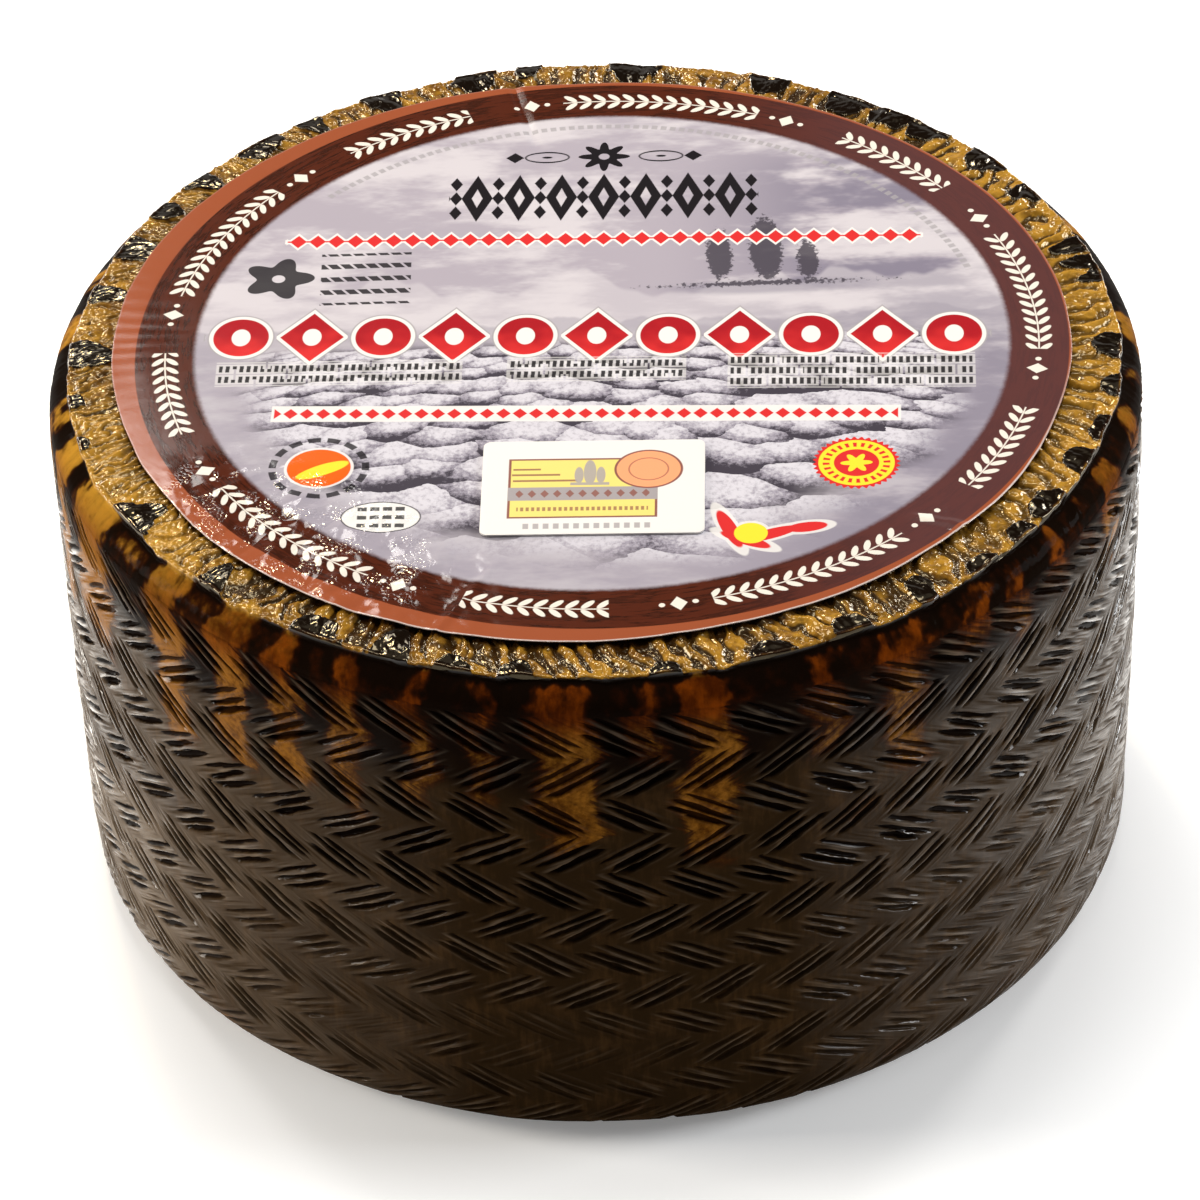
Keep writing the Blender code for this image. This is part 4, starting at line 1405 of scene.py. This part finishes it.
# %% Label mesh
def closed_disc(name, points, material, poles, uv_size, top_rows, marks=None):
    """A disc of rings from the middle of its top, round its edge, to the middle of its underside.
    Its flat map lays the top rows over nearly the whole square and the underside in one corner."""
    rows, columns = points.shape[:2]
    normals = grid_normals(points)
    vertices = np.concatenate([points.reshape(-1, 3), poles])
    directions = np.concatenate([normals.reshape(-1, 3), [[0, 0, 1], [0, 0, -1]]])
    j = np.arange(columns)
    beside = (j + 1) % columns
    first, last = np.full(columns, rows * columns), np.full(columns, rows * columns + 1)
    end = (rows - 1) * columns
    faces = np.concatenate([
        ring_faces(rows, columns),
        np.stack([first, j, beside, beside], axis=1),
        np.stack([end + j, last, end + beside, end + beside], axis=1),
    ])
    middle = vertices[: rows * columns, :2].mean(axis=0)
    flat = (vertices[:, :2] - middle) / uv_size
    is_under = np.ones(len(faces), bool)
    is_under[: top_rows * columns] = False
    is_under[end : rows * columns] = False
    uv = np.where(is_under[:, None, None], flat[faces] * 0.03 + 0.02, flat[faces] * 0.98 + 0.5)
    marks = {mark: np.append(values.ravel(), [0, 0]) for mark, values in (marks or {}).items()}
    return mesh_of(name, vertices, faces, material, directions, marks, uv)


label_poles = [(LABEL_X, LABEL_Y, float(label_z[row].mean())) for row in (0, -1)]
label_size = 2 * LABEL_RADIUS + 2
label_marks = {"bare": bare_paper}
label_piece = closed_disc(
    "printed_label", label_points, label_finish, label_poles, label_size, LABEL_ROWS, label_marks
)
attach(label_piece, "root")
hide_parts("label")

# %% [markdown]
# ## The sticker
#
# A small white sticker tells one wheel from another. It is a rounded oblong of stiff paper stuck
# on the label a little askew. It is the same kind of closed disc as the label, but its rings are
# rounded oblongs: the corner rounding is kept and the rest shrinks towards the middle.

# %% Sticker shape
STICKER_WIDTH, STICKER_HEIGHT, STICKER_CORNER = 38.8, 27.0, 1.5
STICKER_DEGREES, STICKER_COLUMNS, STICKER_ROWS, TAG_SINK, TAG_DROP = -2.2, 480, 24, 0.02, 0.38


def oblong_outline(columns):
    """Points round a rounded oblong, evenly spaced: straight sides and quarter-circle corners."""
    c = STICKER_CORNER
    a, b = STICKER_WIDTH / 2 - c, STICKER_HEIGHT / 2 - c
    quarter = c * math.pi / 2
    lengths = np.array([2 * b, quarter, 2 * a, quarter, 2 * b, quarter, 2 * a, quarter])
    starts = np.concatenate([[0], np.cumsum(lengths)])
    s = np.linspace(0, starts[-1], columns, endpoint=False)
    side = np.searchsorted(starts, s, side="right") - 1
    t = (s - starts[side]) / lengths[side]
    on_corner = side % 2 == 1
    number = side // 2
    corner = np.array([[a, -b], [a, b], [-a, b], [-a, -b]])
    straight = np.where(on_corner, 0.0, 1 - t)[:, None]
    base = corner[(number + 1) % 4] * (1 - straight) + corner[number] * straight
    turn_now = math.pi / 2 * (number + np.where(on_corner, t, 0.0))
    return base[:, 0] + c * np.cos(turn_now), base[:, 1] + c * np.sin(turn_now)


outline_x, outline_y = oblong_outline(STICKER_COLUMNS)
sticker_rings = np.concatenate([np.linspace(0.02, 1, STICKER_ROWS), [1.0, 1.0, 0.995, 0.5, 0.02]])
sticker_drop = np.zeros(len(sticker_rings))
sticker_drop[STICKER_ROWS:] = [0.05, 0.36, TAG_DROP, TAG_DROP, TAG_DROP]
sx = sticker_rings[:, None] * outline_x
sy = sticker_rings[:, None] * outline_y
c, s = math.cos(math.radians(STICKER_DEGREES)), math.sin(math.radians(STICKER_DEGREES))
sticker_x, sticker_y = STICKER_X + sx * c - sy * s, STICKER_Y + sx * s + sy * c
sticker_z = np.repeat(STICKER_TOP - TAG_SINK - sticker_drop[:, None], STICKER_COLUMNS, axis=1)
sticker_points = np.stack([sticker_x, sticker_y, sticker_z], axis=2)
print("sticker, mm:", STICKER_WIDTH, "by", STICKER_HEIGHT)

# %% Sticker print
slip = Finish("printed_sticker")
px, py, _ = slip.place()
ux, uy = turned(px, py, STICKER_X, STICKER_Y, STICKER_DEGREES)
SLIP_WHITE = shade_of(0.71, 0.69, 0.665)
SLIP_YELLOW = shade_of(0.74, 0.60, 0.145)
SLIP_BROWN = shade_of(0.20, 0.050, 0.035)
SLIP_GREY = shade_of(0.30, 0.27, 0.28)
SLIP_ORANGE = shade_of(0.80, 0.30, 0.13)

tag = Print(slip, SLIP_WHITE)
vx = ux + 1.8
panel = box(vx, uy + 0.3, 13.0, 8.6)
tag.stamp(SLIP_BROWN, panel)
tag.stamp(SLIP_YELLOW, panel + 0.45)
tag.stamp(SLIP_GREY, box(vx, uy + 1.9, 13.0, 1.9))
bar_dots = lozenge(vx.repeat(2.2), uy + 1.9, 0.75, 1.1).high(abs(vx) - 11.6)
tag.stamp(SLIP_BROWN, bar_dots, 0.9)
tag.stamp(SLIP_BROWN, box(vx.repeat(0.95), uy + 6.3, 0.28, 0.55).high(abs(vx) - 11.4), 0.8)
MOUND = [(-10.0, 3.6, 4.2, 0.28), (-8.4, 1.9, 5.6, 0.28), (-11.6, 5.2, 2.4, 0.26)]
mound = joined(*(box(ux - x, uy - y, wide, high) for x, y, wide, high in MOUND))
tag.stamp(SLIP_BROWN, mound, 0.85)
bud_x = ux + 0.6
sprout = oval(bud_x, uy - 4.2, 1.1, 3.6).low(oval(abs(bud_x) - 1.9, uy - 3.4, 0.8, 2.4))
tag.stamp(SLIP_GREY, sprout.low(box(bud_x, uy - 0.9, 3.4, 0.4)), 0.9)
drum = oval(ux - 9.6, uy - 5.0, 6.0, 5.6)
tag.stamp(SLIP_BROWN, drum)
tag.stamp(SLIP_ORANGE, drum + 0.4)
tag.stamp(SLIP_BROWN, abs(drum + 2.4) - 0.14, 0.7)
ticks = box((ux + 1.0).repeat(1.75), uy + 11.2, 0.5, 0.75).high(abs(ux + 1.0) - 11.0)
tag.stamp(SLIP_GREY, ticks, 0.85)
flat_spot = slip.point(ux, uy)
fibres = slip.grain(flat_spot, 0.7, 3.0)
slip_finish = slip.shader(
    bump=fibres * 0.5 + slip.grain(flat_spot, 14.0, 2.0) * 0.5,
    bump_height=0.05,
    Base_Color=tag.colour,
    Roughness=0.42 + 0.1 * (fibres - 0.5),
    IOR=1.45,
)

# %% Sticker mesh
tag_poles = [(STICKER_X, STICKER_Y, STICKER_TOP - TAG_SINK - drop) for drop in (0, TAG_DROP)]
sticker_piece = closed_disc(
    "sticker", sticker_points, slip_finish, tag_poles, STICKER_WIDTH, STICKER_ROWS
)
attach(sticker_piece, "root")
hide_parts("sticker")

# %% [markdown]
# ## Floor, light and camera
#
# The wheel stands on a pale floor that glows faintly, as a light table does, so its shadow stays
# thin. What makes a dark gloss look right is what it mirrors: a low
# front light would wash it out, so the light comes from above and behind, and the front face
# mirrors the floor in the wheel's own soft shadow. The room is bright at the back and dim on the
# camera's side.

# %% Floor
FLOOR_HALF, FLOOR_GLOW = 6000.0, 0.20
floor_finish = Finish("pale_floor")
floor_material = floor_finish.shader(
    Base_Color=shade_of(0.94, 0.94, 0.94),
    Roughness=0.8,
    Emission_Color=shade_of(1.0, 1.0, 1.0),
    Emission_Strength=FLOOR_GLOW,
)
floor_corners = np.array([[-1, -1, 0], [1, -1, 0], [1, 1, 0], [-1, 1, 0]]) * FLOOR_HALF
floor = mesh_of("floor", floor_corners, np.array([[0, 1, 2, 3]]), floor_material)

# %% Room light
BACK_LIGHT, FRONT_LIGHT, TOP_LIGHT, FLAG_SHARE = 0.34, 0.06, 0.20, 0.9
WHEEL_MIDDLE = np.array([0, 0, 0.08])
room = bpy.data.worlds.new("studio")
bpy.context.scene.world = room
air = Finish("studio", world=room)
heading = air.node("ShaderNodeTexCoord")
parts = air.node("ShaderNodeSeparateXYZ", inputs={0: heading}).socket.node.outputs
_, wy, wz = (Value(air, part) for part in parts)
level = wy.rise(-0.6, 0.7) * (BACK_LIGHT - FRONT_LIGHT) + FRONT_LIGHT
over = wz.rise(0.68, 0.92) * TOP_LIGHT
flag = wz.rise(0.35, 0.48) * (1.0 - wz.rise(0.72, 0.84)) * wy.rise(0.3, 0.6)
strength = (level + over) * (1.0 - flag * FLAG_SHARE)
backdrop = {"Color": shade_of(1.0, 0.985, 0.965), "Strength": strength}
air.node("ShaderNodeOutputWorld", inputs={0: air.node("ShaderNodeBackground", inputs=backdrop)})


def softbox(name, azimuth, elevation, distance, width, tall, glow, tint=(1.0, 0.98, 0.95)):
    """A rectangular light that faces the wheel, at an azimuth in degrees to the right from
    straight behind it. glow is how bright its face looks, with white paper in full light as 1: a
    face of area A gives pi * A * glow watts."""
    light = bpy.data.lights.new(name, "AREA")
    light.shape, light.size, light.size_y = "RECTANGLE", width, tall
    light.energy, light.color = math.pi * width * tall * glow, tint
    lamp = bpy.data.objects.new(name, light)
    bpy.context.scene.collection.objects.link(lamp)
    a, e = math.radians(azimuth), math.radians(elevation)
    away = np.array([math.sin(a) * math.cos(e), math.cos(a) * math.cos(e), math.sin(e)])
    lamp.location = away * distance + WHEEL_MIDDLE
    lamp.rotation_mode = "QUATERNION"
    lamp.rotation_quaternion = Vector(away).to_track_quat("Z", "Y")


softbox("overhead", -8, 79, 1.6, 0.66, 0.46, 12.0)
softbox("spark", -17, 44, 2.0, 0.14, 0.14, 110.0, (1.0, 0.78, 0.42))
softbox("left_strip", -35, 19, 1.7, 0.26, 0.60, 19.0)
softbox("right_strip", 35, 19, 1.7, 0.26, 0.60, 19.0)
softbox("window", -17.5, 42.0, 2.5, 0.66, 0.50, 8.0)
softbox("right_box", 88, 20, 1.6, 0.6, 0.5, 19.0, (0.96, 0.98, 1.0))
softbox("left_box", -86, 18, 1.5, 0.5, 0.6, 22.0, (1.0, 0.94, 0.85))

# %% Camera at the photograph's angle
CAMERA_AWAY, CAMERA_RISE, CAMERA_TIP, CAMERA_ROLL = 1.1967, 0.689, 0.658, -0.036
PICTURE_WIDTH, FOCAL_PIXELS, SHIFT_PIXELS, SENSOR_MM = 1200, 6326, -3, 36.0
lens_data = bpy.data.cameras.new("camera")
lens_data.sensor_width = SENSOR_MM
lens_data.lens = SENSOR_MM * FOCAL_PIXELS / PICTURE_WIDTH
lens_data.shift_x = SHIFT_PIXELS / PICTURE_WIDTH
lens_data.clip_start, lens_data.clip_end = 0.05, 50
camera = bpy.data.objects.new("camera", lens_data)
bpy.context.scene.collection.objects.link(camera)
bpy.context.scene.camera = camera
forward = np.array([0, math.cos(CAMERA_TIP), -math.sin(CAMERA_TIP)])
right = np.array([1.0, 0, 0])
up = np.cross(right, forward)
cr, sr = math.cos(CAMERA_ROLL), math.sin(CAMERA_ROLL)
axes = np.stack([right * cr + up * sr, up * cr - right * sr, -forward], axis=1)
camera.rotation_mode = "QUATERNION"
camera.rotation_quaternion = Matrix(axes.tolist()).to_quaternion()
camera.location = (0, -CAMERA_AWAY * math.cos(CAMERA_RISE), CAMERA_AWAY * math.sin(CAMERA_RISE))
bpy.context.scene.view_settings.view_transform = "Standard"
print("lens, mm:", round(lens_data.lens, 1))
